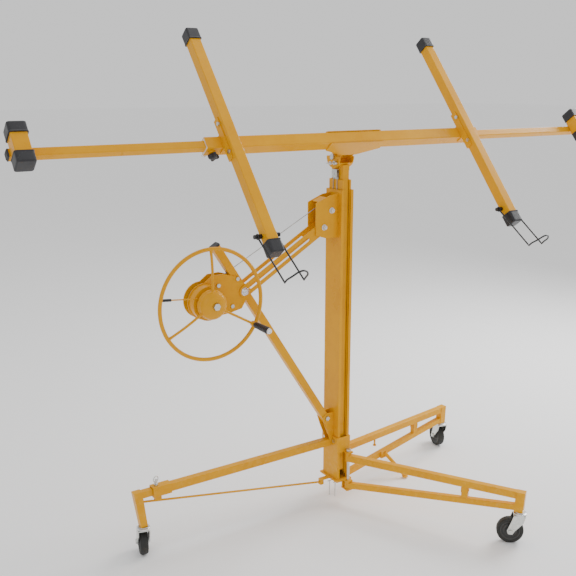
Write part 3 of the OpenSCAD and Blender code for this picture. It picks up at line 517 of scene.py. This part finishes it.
class LIFT_OT_finishes(bpy.types.Operator):
    """Makes the materials and gives each frame node the one of its slot"""
    bl_idname = "lift.finishes"
    bl_label = "Finishes"

    def execute(self, context):
        finish = context.scene.lift_finish
        paint, deep = tuple(finish.paint), tuple(finish.paint_deep)
        plastic, zinc, rubber = tuple(finish.plastic), tuple(finish.zinc), tuple(finish.rubber)
        enamel, weld = tuple(0.93 * part for part in paint), tuple(0.85 * part for part in deep)
        dull_zinc = tuple(0.72 * part for part in zinc)
        MATERIALS.update({
            "paint": paint_material("Powder Coat", paint, deep, finish.chips, 0.06),
            "wheel_paint": paint_material("Wheel Enamel", enamel, deep, finish.chips * 1.8, 0.16),
            "weld": paint_material("Painted Weld", deep, weld, 0.1, 0.1),
            "zinc": metal_material("Zinc Plate", zinc, dull_zinc, 0.30, 160.0),
            "chrome": metal_material("Polished Steel", (0.80, 0.81, 0.83), (0.62, 0.63, 0.65), 0.16, 60.0),
            "cable": metal_material("Wire Strand", (0.50, 0.50, 0.49), (0.26, 0.25, 0.24), 0.40, 500.0),
            "plastic": moulded_material("Moulded Plastic", plastic, (0.10, 0.10, 0.11), 0.42, 0.35, 900.0),
            "wire": moulded_material("Dipped Wire", (0.012, 0.012, 0.013), (0.09, 0.09, 0.09),
                                     0.36, 0.3, 1400.0),
            "nylon": moulded_material("Nylon", (0.78, 0.76, 0.68), (0.55, 0.52, 0.44), 0.5, 0.4, 700.0),
            "rubber": moulded_material("Tyre Rubber", rubber, (0.12, 0.115, 0.10), 0.62, 0.55, 500.0,
                                       0.0006),
            "core": moulded_material("Wheel Core", (0.05, 0.05, 0.048), (0.16, 0.155, 0.14),
                                     0.5, 0.4, 600.0),
        })
        for subpart in frame["record"]["subparts"]:
            node = frame["nodes"][subpart["node"]]
            node.data.materials.clear()
            node.data.materials.append(MATERIALS[NODE_FINISH[subpart["material_slot"]]])
        return {"FINISHED"}


# ---- hand wheel ----

CRANK_ANGLE = math.radians(-30)
SPOKE_ANGLES = (math.radians(90), math.radians(210), CRANK_ANGLE)
RIM_FORWARD = 0.074
HUB_FORWARD = 0.066
CRANK_REACH = 0.190
SPOKE_POINTS = 56
SPINDLE_RADIUS = 0.0054


def on_wheel(radius, angle, forward):
    """A point at this radius and angle about the winch axis, this far in front of it."""
    return WINCH + radius * (math.cos(angle) * X_AXIS + math.sin(angle) * Z_AXIS) + forward * FRONT


class LIFT_OT_hand_wheel(bpy.types.Operator):
    """Makes the hand wheel's round rim, flared spokes, domed hub, crank spindle and grip"""
    bl_idname = "lift.hand_wheel"
    bl_label = "Hand Wheel"

    def execute(self, context):
        sizes = context.scene.lift_sizes
        # rim: a torus, the circle of the tube carried round the circle of the rim
        angle = turn(144)[:, None]
        circle = (WINCH + RIM_FORWARD * FRONT
                  + sizes.rim_radius * (np.cos(angle) * X_AXIS + np.sin(angle) * Z_AXIS))
        shape = Shape().grid(swept(circle, sizes.rim_tube, Y_AXIS, 20, True), True)
        # spokes: r(s) = r0 (1 + 0.7 exp(-d / 6 mm)), d being the distance to the nearer end, and the
        # middle of each stands 6 mm further out
        for spoke_angle in SPOKE_ANGLES:
            start = on_wheel(sizes.hub_radius - 0.008, spoke_angle, HUB_FORWARD + 0.014)
            end = on_wheel(sizes.rim_radius, spoke_angle, RIM_FORWARD)
            path = straight(start, end, SPOKE_POINTS)
            share = np.linspace(0, 1, SPOKE_POINTS)
            path = path + (0.006 * np.sin(math.pi * share))[:, None] * FRONT
            length = float(np.linalg.norm(end - start))
            near = np.minimum(share, 1 - share) * length
            radius = sizes.spoke_radius * (1 + 0.7 * np.exp(-near / 0.006))
            across = np.cross(unit(end - start), FRONT)
            shape.grid(swept(path, radius, across, 16))
        rim = shape.build("wheel_rim_and_spokes", "winch_wheel", "yellow_paint", MATERIALS["wheel_paint"])
        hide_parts("hand_wheel")
        # hub: a rim flange, then a dome r = a + b cos f, h = c + d sin f, and a dished seat for the nut
        bore, outer, seat = 0.0082, sizes.hub_radius, 0.015
        dome = np.linspace(0, math.pi / 2, 18)
        curve = np.stack([seat + (outer - 0.002 - seat) * np.cos(dome),
                          HUB_FORWARD + 0.015 + 0.025 * np.sin(dome)], 1)
        flange = np.array([[bore, HUB_FORWARD], [outer - 0.003, HUB_FORWARD], [outer, HUB_FORWARD + 0.001],
                           [outer, HUB_FORWARD + 0.010], [outer - 0.0015, HUB_FORWARD + 0.0115],
                           [outer - 0.002, HUB_FORWARD + 0.0125]])
        seat_curve = np.array([[seat - 0.0015, HUB_FORWARD + 0.0395], [seat - 0.003, HUB_FORWARD + 0.0385],
                               [bore, HUB_FORWARD + 0.0385]])
        hub_profile = np.vstack([flange, curve, seat_curve])
        hub = Shape().grid(revolved(hub_profile, WINCH, FRONT, 96), True)
        hub = hub.build("wheel_hub", "winch_wheel", "yellow_paint", MATERIALS["wheel_paint"], 55)
        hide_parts("hand_wheel")
        # spindle boss of the crank, on the inner side of the rim
        crank = on_wheel(CRANK_REACH, CRANK_ANGLE, 0)
        boss = softened([[0, 0.068], [0.010, 0.068], [0.0105, 0.078], [0.0085, 0.0845], [0.005, 0.085],
                         [0.005, 0.186], [0, 0.186]], 0.002)
        piece = Shape().grid(revolved(boss, crank, FRONT, 40))
        piece.build("crank_spindle", "winch_wheel", "yellow_paint", MATERIALS["wheel_paint"])
        # grip: r(s) = 10.6 mm + 2.4 mm s + shallow ridges, with rounded shoulders
        low, high = node_box("crank_grip")
        near, far = WINCH[1] - high[1], WINCH[1] - low[1]
        s = np.linspace(0, 1, 90)
        shoulder = np.sqrt(np.clip(1 - (2 * s - 1) ** 16, 0, 1))
        body = 0.0106 + 0.0024 * s + 0.0005 * np.cos(2 * math.pi * s * 9) * (s > 0.12) * (s < 0.9)
        radius = np.maximum(body * shoulder, SPINDLE_RADIUS)
        outside = np.stack([radius, near + (far - near) * s], 1)
        loop = np.vstack([[[SPINDLE_RADIUS, near]], outside, [[SPINDLE_RADIUS, far]]])
        grip = Shape().grid(revolved(loop, crank, FRONT, 40), True)
        grip = grip.build("crank_grip_moulding", "crank_grip", "black_plastic", MATERIALS["plastic"], 60)
        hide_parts("crank_grip")
        # bright end cap with a hollow, which keeps the grip on
        cap = softened([[0, 0.1855], [0.0035, 0.1855], [0.0045, 0.1835], [0.0045, 0.1828],
                        [0.0098, 0.1828], [0.0105, 0.1845], [0.0095, 0.188], [0.0065, 0.189],
                        [0.0055, 0.1875], [0, 0.187]], 0.0008)
        end = Shape().grid(revolved(cap, crank, FRONT, 40))
        end.build("crank_end_cap", "winch_wheel", "zinc_steel", MATERIALS["chrome"])
        return {"FINISHED"}


# ---- cables ----

def strand(path, radius, normal):
    """A twisted cable of six strands: a tube of radius r (0.90 + 0.10 |cos 3(t + 2 pi s / 20 mm)|)."""
    step = np.linalg.norm(np.diff(path, axis=0), axis=1)
    s = np.concatenate([[0], np.cumsum(step)])
    t = turn(24)
    tube = swept(path, 1.0, normal, 24) - path[:, None]
    lay = 0.90 + 0.10 * np.abs(np.cos(3 * (t[None] + 2 * math.pi * s[:, None] / 0.020)))
    return path[:, None] + tube * (radius * lay)[..., None]


def spaced(path, step):
    """The same line with points at equal steps."""
    lengths = np.concatenate([[0], np.cumsum(np.linalg.norm(np.diff(path, axis=0), axis=1))])
    wanted = np.linspace(0, lengths[-1], int(lengths[-1] / step) + 2)
    return np.stack([np.interp(wanted, lengths, path[:, k]) for k in range(3)], 1)


def arc(centre, radius, first, second, start, end, count):
    """centre + r (cos a first + sin a second), for a from start to end."""
    a = np.linspace(start, end, count)[:, None]
    return centre + radius * (np.cos(a) * first + np.sin(a) * second)


DRUM_RADIUS = 0.0321
PULLEY_RADIUS = 0.0351
STAGE_PULLEY_RADIUS = 0.0121
POINT_STEP = 0.0026
DRUM_TURNS = 6.5
TURN_PITCH = 0.0034
FIRST_TURN = 0.0107


class LIFT_OT_cables(bpy.types.Operator):
    """Makes the twisted cables along their taut routes, and the turns on the drum"""
    bl_idname = "lift.cables"
    bl_label = "Cables"

    def execute(self, context):
        radius = context.scene.lift_sizes.cable_radius
        pulley = joint_point("mast_pulley_turn")
        run = pulley - WINCH
        distance = math.hypot(run[0], run[2])
        slope = math.atan2(run[2], run[0]) + math.asin((PULLEY_RADIUS - DRUM_RADIUS) / distance)
        leave = slope + math.pi / 2
        drum_point = WINCH + DRUM_RADIUS * (math.cos(leave) * X_AXIS + math.sin(leave) * Z_AXIS)
        over = arc(pulley, PULLEY_RADIUS, X_AXIS, Z_AXIS, leave, 0, 30)
        bottom = over[-1].copy()
        bottom[2] = node_box("lift_cable")[0][2]
        route = spaced(np.vstack([[drum_point], over, [bottom]]), POINT_STEP)
        main = Shape().grid(strand(route, radius, Y_AXIS))
        main = main.build("lift_cable_strand", "base", "steel_cable", MATERIALS["cable"], 80)
        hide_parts("lift_cable")
        low = node_box("stage_cable")[0]
        wheel = joint_point("stage2_pulley_turn")
        top = arc(wheel, STAGE_PULLEY_RADIUS, Y_AXIS, Z_AXIS, 0, math.pi, 24)
        first, last = top[0].copy(), top[-1].copy()
        first[2] = last[2] = low[2]
        route = spaced(np.vstack([[first], top, [last]]), POINT_STEP)
        loop = Shape().grid(strand(route, radius, X_AXIS))
        loop = loop.build("stage_cable_strand", "middle_stage", "steel_cable", MATERIALS["cable"], 80)
        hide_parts("stage_cable")
        # turns on the drum: a helix, with the tube's circle in the radial plane
        a = np.linspace(0, 2 * math.pi * DRUM_TURNS, 520)[:, None, None]
        radial = np.cos(a) * X_AXIS + np.sin(a) * Z_AXIS
        centre = (WINCH + (FIRST_TURN - TURN_PITCH * a / (2 * math.pi)) * Y_AXIS
                  + (DRUM_RADIUS - 0.0002) * radial)
        t = turn(10)[None, :, None]
        coil = centre + radius * (np.cos(t) * radial + np.sin(t) * Y_AXIS)
        Shape().grid(coil).build("drum_turns", "winch_wheel", "steel_cable", MATERIALS["cable"])
        return {"FINISHED"}


# ---- casters ----

class LIFT_OT_casters(bpy.types.Operator):
    """Makes the tyres, wheel cores and swivel races of the three casters"""
    bl_idname = "lift.casters"
    bl_label = "Casters"

    def execute(self, context):
        sizes = context.scene.lift_sizes
        outer, half = sizes.tyre_radius, sizes.tyre_width / 2
        core_radius, race_z = 0.036, 0.119
        t = turn(56)
        for name in CASTERS:
            centre, axle = joint_point(f"caster_{name}_roll"), joint_axis(f"caster_{name}_roll")
            # tyre: a rounded rectangle between core and tread, the tread slightly crowned
            x = half * np.sign(np.cos(t)) * np.abs(np.cos(t)) ** 0.5
            r = ((outer + core_radius) / 2
                 + (outer - core_radius) / 2 * np.sign(np.sin(t)) * np.abs(np.sin(t)) ** 0.62)
            tyre = Shape().grid(revolved(np.stack([r, x], 1), centre, axle, 96), True)
            tyre = tyre.build(f"tyre_{name}", f"wheel_{name}", "caster_rubber", MATERIALS["rubber"], 60)
            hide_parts(f"caster_wheel_{name}")
            # core: a thin web between a rim and a boss, softened at its corners
            side = softened([[0.0053, 0.0165], [0.013, 0.0165], [0.0155, 0.010], [0.018, 0.006],
                             [0.027, 0.005], [0.031, 0.009], [0.034, 0.0125], [0.0372, 0.0125]], 0.0015)
            loop = np.vstack([side, side[::-1] * [1, -1]])
            core = Shape().grid(revolved(loop, centre, axle, 72), True)
            core = core.build(f"wheel_core_{name}", f"wheel_{name}", "caster_rubber", MATERIALS["core"], 50)
            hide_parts(f"caster_wheel_{name}")
            # race: a rolled ring round the swivel, above the fork's crown
            swivel = joint_point(f"caster_{name}_swivel")
            loop = np.stack([0.0215 + 0.0032 * np.cos(t), 0.0025 + 0.0024 * np.sin(t)], 1)
            seat = np.array([swivel[0], swivel[1], race_z])
            ring = Shape().grid(revolved(loop, seat, Z_AXIS, 64), True)
            ring.build(f"swivel_race_{name}", f"fork_{name}", "zinc_steel", MATERIALS["chrome"])
        return {"FINISHED"}


# ---- caps and knobs ----

def cap_shell(mouth, axis, across, half, length, lip=0.0009):
    """A moulded cap over a square tube: a superellipse of half-width w(s) carried along the axis.
    w has a raised lip at the mouth and the quarter circle of a rounded end."""
    axis, across = unit(axis), unit(across)
    other = np.cross(axis, across)
    corner = 0.005
    s = np.concatenate([[0, 0.0008, 0.003, 0.004], np.linspace(0.006, length - corner, 6),
                        length - corner + corner * np.sin(np.linspace(0.1, math.pi / 2, 8))])
    w = np.full(len(s), half)
    w[1:3] = half + lip
    into = np.clip(s - (length - corner), 0, corner)
    w = w - corner + np.sqrt(np.maximum(corner ** 2 - into ** 2, 0))
    w[0] = half - 0.0006
    x, y = superellipse(72, 9.0)
    ring = w[:, None, None] * (x[None, :, None] * across + y[None, :, None] * other)
    return mouth + s[:, None, None] * axis + ring


class LIFT_OT_caps(bpy.types.Operator):
    """Makes the moulded caps of the cross arms, end supports and outriggers"""
    bl_idname = "lift.caps"
    bl_label = "Tube Caps"

    def execute(self, context):
        wall = context.scene.lift_sizes.cap_wall
        # side and half length of the tubes, how far each cap grips, and where the riser's plug sits
        arm_side, pad_side, pad_half = 0.040, 0.050, 0.066
        arm_grip, pad_grip = 0.042, 0.034
        plug_drop, plug_out = 0.0415, 0.0281
        arms = Shape()
        for name, side in SIDES:
            for end, place in ((-1, "lower"), (1, "upper")):
                face = np.array(MOUNTS[f"board_rest_{name}_{place}"]["pos_m"])
                mouth = face - BOARD_NORMAL * (arm_side / 2 + wall) - end * arm_grip / 2 * ALONG_ARM
                arms.grid(cap_shell(mouth, end * ALONG_ARM, X_AXIS, arm_side / 2 + wall, arm_grip + wall))
            face = np.array(MOUNTS[f"board_rest_end_{name}"]["pos_m"])
            pad = face - BOARD_NORMAL * (pad_side / 2 + wall) - PAD_MOUNT * ALONG_ARM
            ends = Shape()
            for end in (-1, 1):
                mouth = pad + end * (pad_half - pad_grip) * ALONG_ARM
                ends.grid(cap_shell(mouth, end * ALONG_ARM, X_AXIS, pad_side / 2 + wall, pad_grip + wall))
            plug = pad - BOARD_NORMAL * plug_drop + side * plug_out * X_AXIS
            ends.grid(cap_shell(plug, side * X_AXIS, ALONG_ARM, 0.015, 0.0049, 0.0))
            piece = ends.build(f"end_caps_{name}_moulding", f"outrigger_{name}", "black_plastic",
                               MATERIALS["plastic"], 50)
            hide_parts(f"end_caps_{name}")
        piece = arms.build("arm_caps_moulding", "cradle", "black_plastic", MATERIALS["plastic"], 50)
        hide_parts("arm_end_caps")
        return {"FINISHED"}


class LIFT_OT_knobs(bpy.types.Operator):
    """Makes the lobed clamp knobs of the outriggers and their bright studs"""
    bl_idname = "lift.knobs"
    bl_label = "Clamp Knobs"

    def execute(self, context):
        for name, _ in SIDES:
            joint = f"clamp_knob_{name}_turn"
            axis = joint_axis(joint)
            base = joint_point(joint) - KNOB_REACH * axis
            # head: r(t, s) = (15.5 mm + 4.5 mm cos 4t) (1 - |s|^6)^(1/3)
            first, second = square_to(axis)
            t = turn(96)
            s = np.linspace(-1, 1, 25)
            edge = (1 - np.abs(s) ** 6) ** (1 / 3)
            lobes = 0.0155 + 0.0045 * np.cos(4 * t)
            radius = lobes[None] * edge[:, None]
            height = 0.0415 + 0.0090 * s
            around = np.cos(t)[None, :, None] * first + np.sin(t)[None, :, None] * second
            head = base + height[:, None, None] * axis + radius[..., None] * around
            knob = Shape().grid(head)
            knob = knob.build(f"clamp_knob_{name}_head", f"clamp_knob_{name}", "black_plastic",
                              MATERIALS["plastic"], 60)
            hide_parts(f"clamp_knob_{name}")
            # stud: a screw whose radius swings with its thread, r = 4.7 mm + 0.3 mm cos(2 pi s / 1.5 mm)
            s = np.linspace(0.0153, 0.036, 110)
            thread = np.stack([0.0047 + 0.0003 * np.cos(2 * math.pi * s / 0.0015), s], 1)
            profile = np.vstack([[[0, s[0]]], thread, [[0, s[-1]]]])
            stud = Shape().grid(revolved(profile, base, axis, 28))
            stud.build(f"clamp_stud_{name}", f"clamp_knob_{name}", "zinc_steel", MATERIALS["zinc"])
        return {"FINISHED"}


class LIFT_OT_hooks(bpy.types.Operator):
    """Makes the bent wire hooks that hold the lower edge of the board"""
    bl_idname = "lift.hooks"
    bl_label = "Hooks"

    def execute(self, context):
        wire, half_gap, length, arch, rise = 0.003, 0.035, 0.209, 0.060, math.radians(15)
        out = BOARD_NORMAL * math.sin(rise) - ALONG_ARM * math.cos(rise)
        raised = BOARD_NORMAL * math.cos(rise) + ALONG_ARM * math.sin(rise)
        for name, _ in SIDES:
            pivot = joint_point(f"hook_{name}_swing")
            shape = Shape()
            # sides: straight wires that bend up into the arch x = a cos f, h = b |sin f|^0.9
            bend = np.linspace(math.pi, 0, 40)[:, None]
            crown = (pivot + (length - 0.012 * np.abs(np.cos(bend)) ** 8) * out
                     + half_gap * np.cos(bend) * X_AXIS + arch * np.abs(np.sin(bend)) ** 0.9 * raised)
            first = straight(pivot - half_gap * X_AXIS, crown[0], 24)[:-1]
            last = straight(crown[-1], pivot + half_gap * X_AXIS, 24)[1:]
            path = np.vstack([first, crown, last])
            shape.grid(framed_tube(path, wire, 12))
            for side in (-1, 1):
                eye = arc(pivot + side * half_gap * X_AXIS, 0.0074, out, raised, 0, 2 * math.pi, 29)[:-1]
                shape.grid(swept(eye, wire * 0.9, X_AXIS, 10, True), True)
            piece = shape.build(f"hook_{name}_wire", f"hook_{name}", "black_wire", MATERIALS["wire"], 70)
            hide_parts(f"hook_{name}")
        return {"FINISHED"}


# ---- small steel parts ----

class LIFT_OT_hardware(bpy.types.Operator):
    """Adds washers, lock nuts and pin springs where the frame is bolted and pinned"""
    bl_idname = "lift.hardware"
    bl_label = "Hardware"

    def execute(self, context):
        pulley = joint_point("mast_pulley_turn")
        links_low, links_high = node_box("tie_links")
        front = links_low[1]
        cheek = node_box("pulley_housing")[0][1]
        # ends of the slotted links, a little way in from the corners of their box
        inset, washer_height = 0.022, 0.0022
        low_end = np.array([links_low[0] + inset, front, links_low[2] + inset])
        high_end = np.array([links_high[0] - inset, cheek, links_high[2] - inset])
        axle = np.array([pulley[0], cheek, pulley[2]])
        shape = Shape()
        thread_end = softened([[0, 0], [0.0045, 0], [0.0045, 0.0145], [0.0038, 0.0155],
                               [0, 0.0155]], 0.0004)
        for point, size in ((low_end, 0.0155), (high_end, 0.0115), (axle, 0.0115)):
            shape.grid(washer(point, FRONT, size, 0.0052, washer_height), True)
            shape.grid(hex_nut(point + washer_height * FRONT, FRONT, size * 1.25, 0.0085))
            shape.grid(revolved(thread_end, point, FRONT, 28))
        shape.build("link_nuts", "base", "zinc_steel", MATERIALS["chrome"])
        # springs of the outrigger pins: helices about the board normal
        spring_turns = 4.5
        for name, _ in SIDES:
            joint = f"clamp_knob_{name}_turn"
            beam = joint_point(joint) - KNOB_REACH * joint_axis(joint)
            share = np.linspace(0, 1, 160)[:, None, None]
            a = 2 * math.pi * spring_turns * share
            radial = np.cos(a) * X_AXIS + np.sin(a) * ALONG_ARM
            centre = beam - BOARD_NORMAL * (0.0350 + 0.0062 * share) + 0.0044 * radial
            t = turn(8)[None, :, None]
            spring = centre + 0.0006 * (np.cos(t) * radial + np.sin(t) * BOARD_NORMAL)
            Shape().grid(spring).build(f"pin_spring_{name}", "cradle", "zinc_steel", MATERIALS["zinc"])
        return {"FINISHED"}


class LIFT_OT_welds(bpy.types.Operator):
    """Adds painted weld beads along the joints of the frame"""
    bl_idname = "lift.welds"
    bl_label = "Weld Beads"

    def execute(self, context):
        radius = context.scene.lift_sizes.weld_radius
        small = 0.8 * radius
        mast_low, mast_high = node_box("mast_stage1")
        housing_low, housing_high = node_box("pulley_housing")
        base = Shape()
        # the cheeks of the pulley housing along the mast
        for y in (housing_low[1], housing_high[1]):
            x = mast_low[0]
            base.grid(weld_bead([x, y, housing_low[2] + 0.004], [x, y, housing_high[2] - 0.004],
                                radius, X_AXIS))
        # the foot bracket under the mast
        foot_top = mast_low[2]
        for y in (mast_low[1], mast_high[1]):
            base.grid(weld_bead([mast_low[0] + 0.003, y, foot_top], [mast_high[0] - 0.003, y, foot_top],
                                radius, Y_AXIS))
        for x in (mast_low[0], mast_high[0]):
            base.grid(weld_bead([x, mast_low[1] + 0.003, foot_top], [x, mast_high[1] - 0.003, foot_top],
                                radius, X_AXIS))
        # the fixed leg's tube on the collar
        rail_x, rail_top = node_box("left_leg")[1][0], node_box("leg_collar")[1][2] - 0.118
        middle, rail_half = (mast_low[1] + mast_high[1]) / 2, 0.0152
        for y in (middle - rail_half, middle + rail_half):
            base.grid(weld_bead([rail_x, y, rail_top - 0.028], [rail_x, y, rail_top - 0.002],
                                radius, X_AXIS))
        base.build("base_welds", "base", "yellow_paint", MATERIALS["weld"], 60)
        # the bracket's plates along the beam, and the arm saddles' legs
        beam_rise = 0.104
        beam = PIVOT + BOARD_NORMAL * beam_rise
        cradle = Shape()
        for across in (-1, 1):
            face = beam + across * 0.0245 * ALONG_ARM
            top = face + BOARD_NORMAL * 0.0225
            cradle.grid(weld_bead(top - 0.120 * X_AXIS, top + 0.120 * X_AXIS, radius, BOARD_NORMAL))
            low = beam + across * 0.0227 * ALONG_ARM - BOARD_NORMAL * 0.0227
            for side in (-1, 1):
                cradle.grid(weld_bead(low + side * 0.034 * X_AXIS, low + side * 0.118 * X_AXIS, small,
                                      BOARD_NORMAL))
        for name, _ in SIDES:
            arm = beam + MOUNTS[f"board_rest_{name}_upper"]["pos_m"][0] * X_AXIS
            for across in (-1, 1):
                corner = arm + across * 0.0225 * ALONG_ARM - BOARD_NORMAL * 0.0075
                cradle.grid(weld_bead(corner - 0.020 * X_AXIS, corner + 0.020 * X_AXIS, small,
                                      BOARD_NORMAL))
        cradle.build("cradle_welds", "cradle", "yellow_paint", MATERIALS["weld"], 60)
        # the end supports' tubes on their risers, this far behind the caps' faces
        pad_depth = 0.0565
        for name, _ in SIDES:
            face = np.array(MOUNTS[f"board_rest_end_{name}"]["pos_m"])
            foot = face - BOARD_NORMAL * pad_depth - PAD_MOUNT * ALONG_ARM
            shape = Shape()
            for across in (-1, 1):
                line = foot + across * 0.020 * X_AXIS
                shape.grid(weld_bead(line - 0.029 * ALONG_ARM, line + 0.029 * ALONG_ARM, small, X_AXIS))
            shape.build(f"outrigger_{name}_welds", f"outrigger_{name}", "yellow_paint",
                        MATERIALS["weld"], 60)
        # the folding legs: end posts and webs on their rails
        for name in ("right", "rear"):
            pin = joint_point(f"leg_{name}_fold")
            stem = joint_point(f"caster_{name}_swivel")
            out = unit([stem[0] - pin[0], stem[1] - pin[1], 0])
            across = np.cross(Z_AXIS, out)
            reach = math.hypot(stem[0] - pin[0], stem[1] - pin[1])
            floor_pin = np.array([pin[0], pin[1], 0])
            shape = Shape()
            for side in (-1, 1):
                post = floor_pin + (reach - 0.0185) * out + side * 0.0138 * across
                shape.grid(weld_bead(post + 0.183 * Z_AXIS, post + 0.205 * Z_AXIS, radius, out))
                web = floor_pin + side * 0.0098 * across
                for at in (0.68 * reach, 0.715 * reach):
                    spot = web + at * out
                    shape.grid(weld_bead(spot + 0.155 * Z_AXIS, spot + 0.179 * Z_AXIS, small, out))
            shape.build(f"leg_{name}_welds", f"leg_{name}", "yellow_paint", MATERIALS["weld"], 60)
        return {"FINISHED"}


# ---- stage ----

def area_light(name, place, target, size, power):
    """A square white light at a place, turned towards a target."""
    data = bpy.data.lights.new(name, "AREA")
    data.size, data.energy = size, power
    light = bpy.data.objects.new(name, data)
    bpy.context.scene.collection.objects.link(light)
    light.location = place
    light.rotation_euler = (Vector(target) - Vector(place)).to_track_quat("-Z", "Y").to_euler()


class LIFT_OT_stage(bpy.types.Operator):
    """Sets the camera, the pale floor and the soft lights"""
    bl_idname = "lift.stage"
    bl_label = "Stage"

    def execute(self, context):
        scene = context.scene
        data = bpy.data.cameras.new("view")
        data.lens, data.sensor_width = 50.5, 36.0
        camera = bpy.data.objects.new("view", data)
        scene.collection.objects.link(camera)
        mast_y = WINCH[1]
        camera.location = (-1.855, mast_y - 2.491, 1.670)
        camera.rotation_euler = (math.radians(76), 0, math.radians(-33))
        scene.camera = camera
        # floor: one large quad, just below the wheels
        half, level = 60.0, -0.0005
        mesh = bpy.data.meshes.new("floor")
        mesh.from_pydata([(-half, -half, level), (half, -half, level), (half, half, level),
                          (-half, half, level)], [], [(0, 1, 2, 3)])
        floor = bpy.data.objects.new("floor", mesh)
        scene.collection.objects.link(floor)
        material, _, shader = new_material("Pale Floor", specular=0.2)
        shader.inputs["Base Color"].default_value = (0.96, 0.96, 0.96, 1)
        shader.inputs["Roughness"].default_value = 0.9
        mesh.materials.append(material)
        world = bpy.data.worlds.new("studio")
        world.use_nodes = True
        backdrop = world.node_tree.nodes["Background"]
        backdrop.inputs["Color"].default_value = (1, 1, 1, 1)
        backdrop.inputs["Strength"].default_value = 0.90
        scene.world = world
        middle = (0, mast_y, 0.9)
        area_light("key", (3.2, mast_y + 0.2, 2.6), middle, 2.0, 130)
        area_light("fill", (-2.6, mast_y - 3.4, 2.8), middle, 2.6, 12)
        area_light("top", (0.4, mast_y + 0.6, 4.2), middle, 2.6, 25)
        return {"FINISHED"}


class LIFT_PT_panel(bpy.types.Panel):
    """Lists the sizes, colours and steps of the drywall lift"""
    bl_idname = "LIFT_PT_panel"
    bl_label = "Drywall Lift"
    bl_space_type = "VIEW_3D"
    bl_region_type = "UI"
    bl_category = "Drywall Lift"

    def draw(self, context):
        for settings in (context.scene.lift_finish, context.scene.lift_sizes):
            for label in settings.bl_rna.properties.keys():
                if label not in ("rna_type", "name"):
                    self.layout.prop(settings, label)
        for operator in OPERATORS:
            self.layout.operator(operator.bl_idname)


OPERATORS = (LIFT_OT_stage, LIFT_OT_finishes, LIFT_OT_hand_wheel, LIFT_OT_cables, LIFT_OT_casters,
             LIFT_OT_caps, LIFT_OT_knobs, LIFT_OT_hooks, LIFT_OT_hardware, LIFT_OT_welds)
CLASSES = (LiftFinish, LiftSizes, *OPERATORS, LIFT_PT_panel)


def register():
    """Registers the classes and hangs the settings on the scene."""
    for item in CLASSES:
        bpy.utils.register_class(item)
    bpy.types.Scene.lift_finish = bpy.props.PointerProperty(type=LiftFinish)
    bpy.types.Scene.lift_sizes = bpy.props.PointerProperty(type=LiftSizes)


def unregister():
    """Takes the settings and classes away again."""
    del bpy.types.Scene.lift_sizes
    del bpy.types.Scene.lift_finish
    for item in reversed(CLASSES):
        bpy.utils.unregister_class(item)


def main():
    """Makes everything in order."""
    register()
    for operator in OPERATORS:
        group, name = operator.bl_idname.split(".")
        getattr(getattr(bpy.ops, group), name)()
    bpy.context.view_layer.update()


if __name__ == "__main__":
    main()
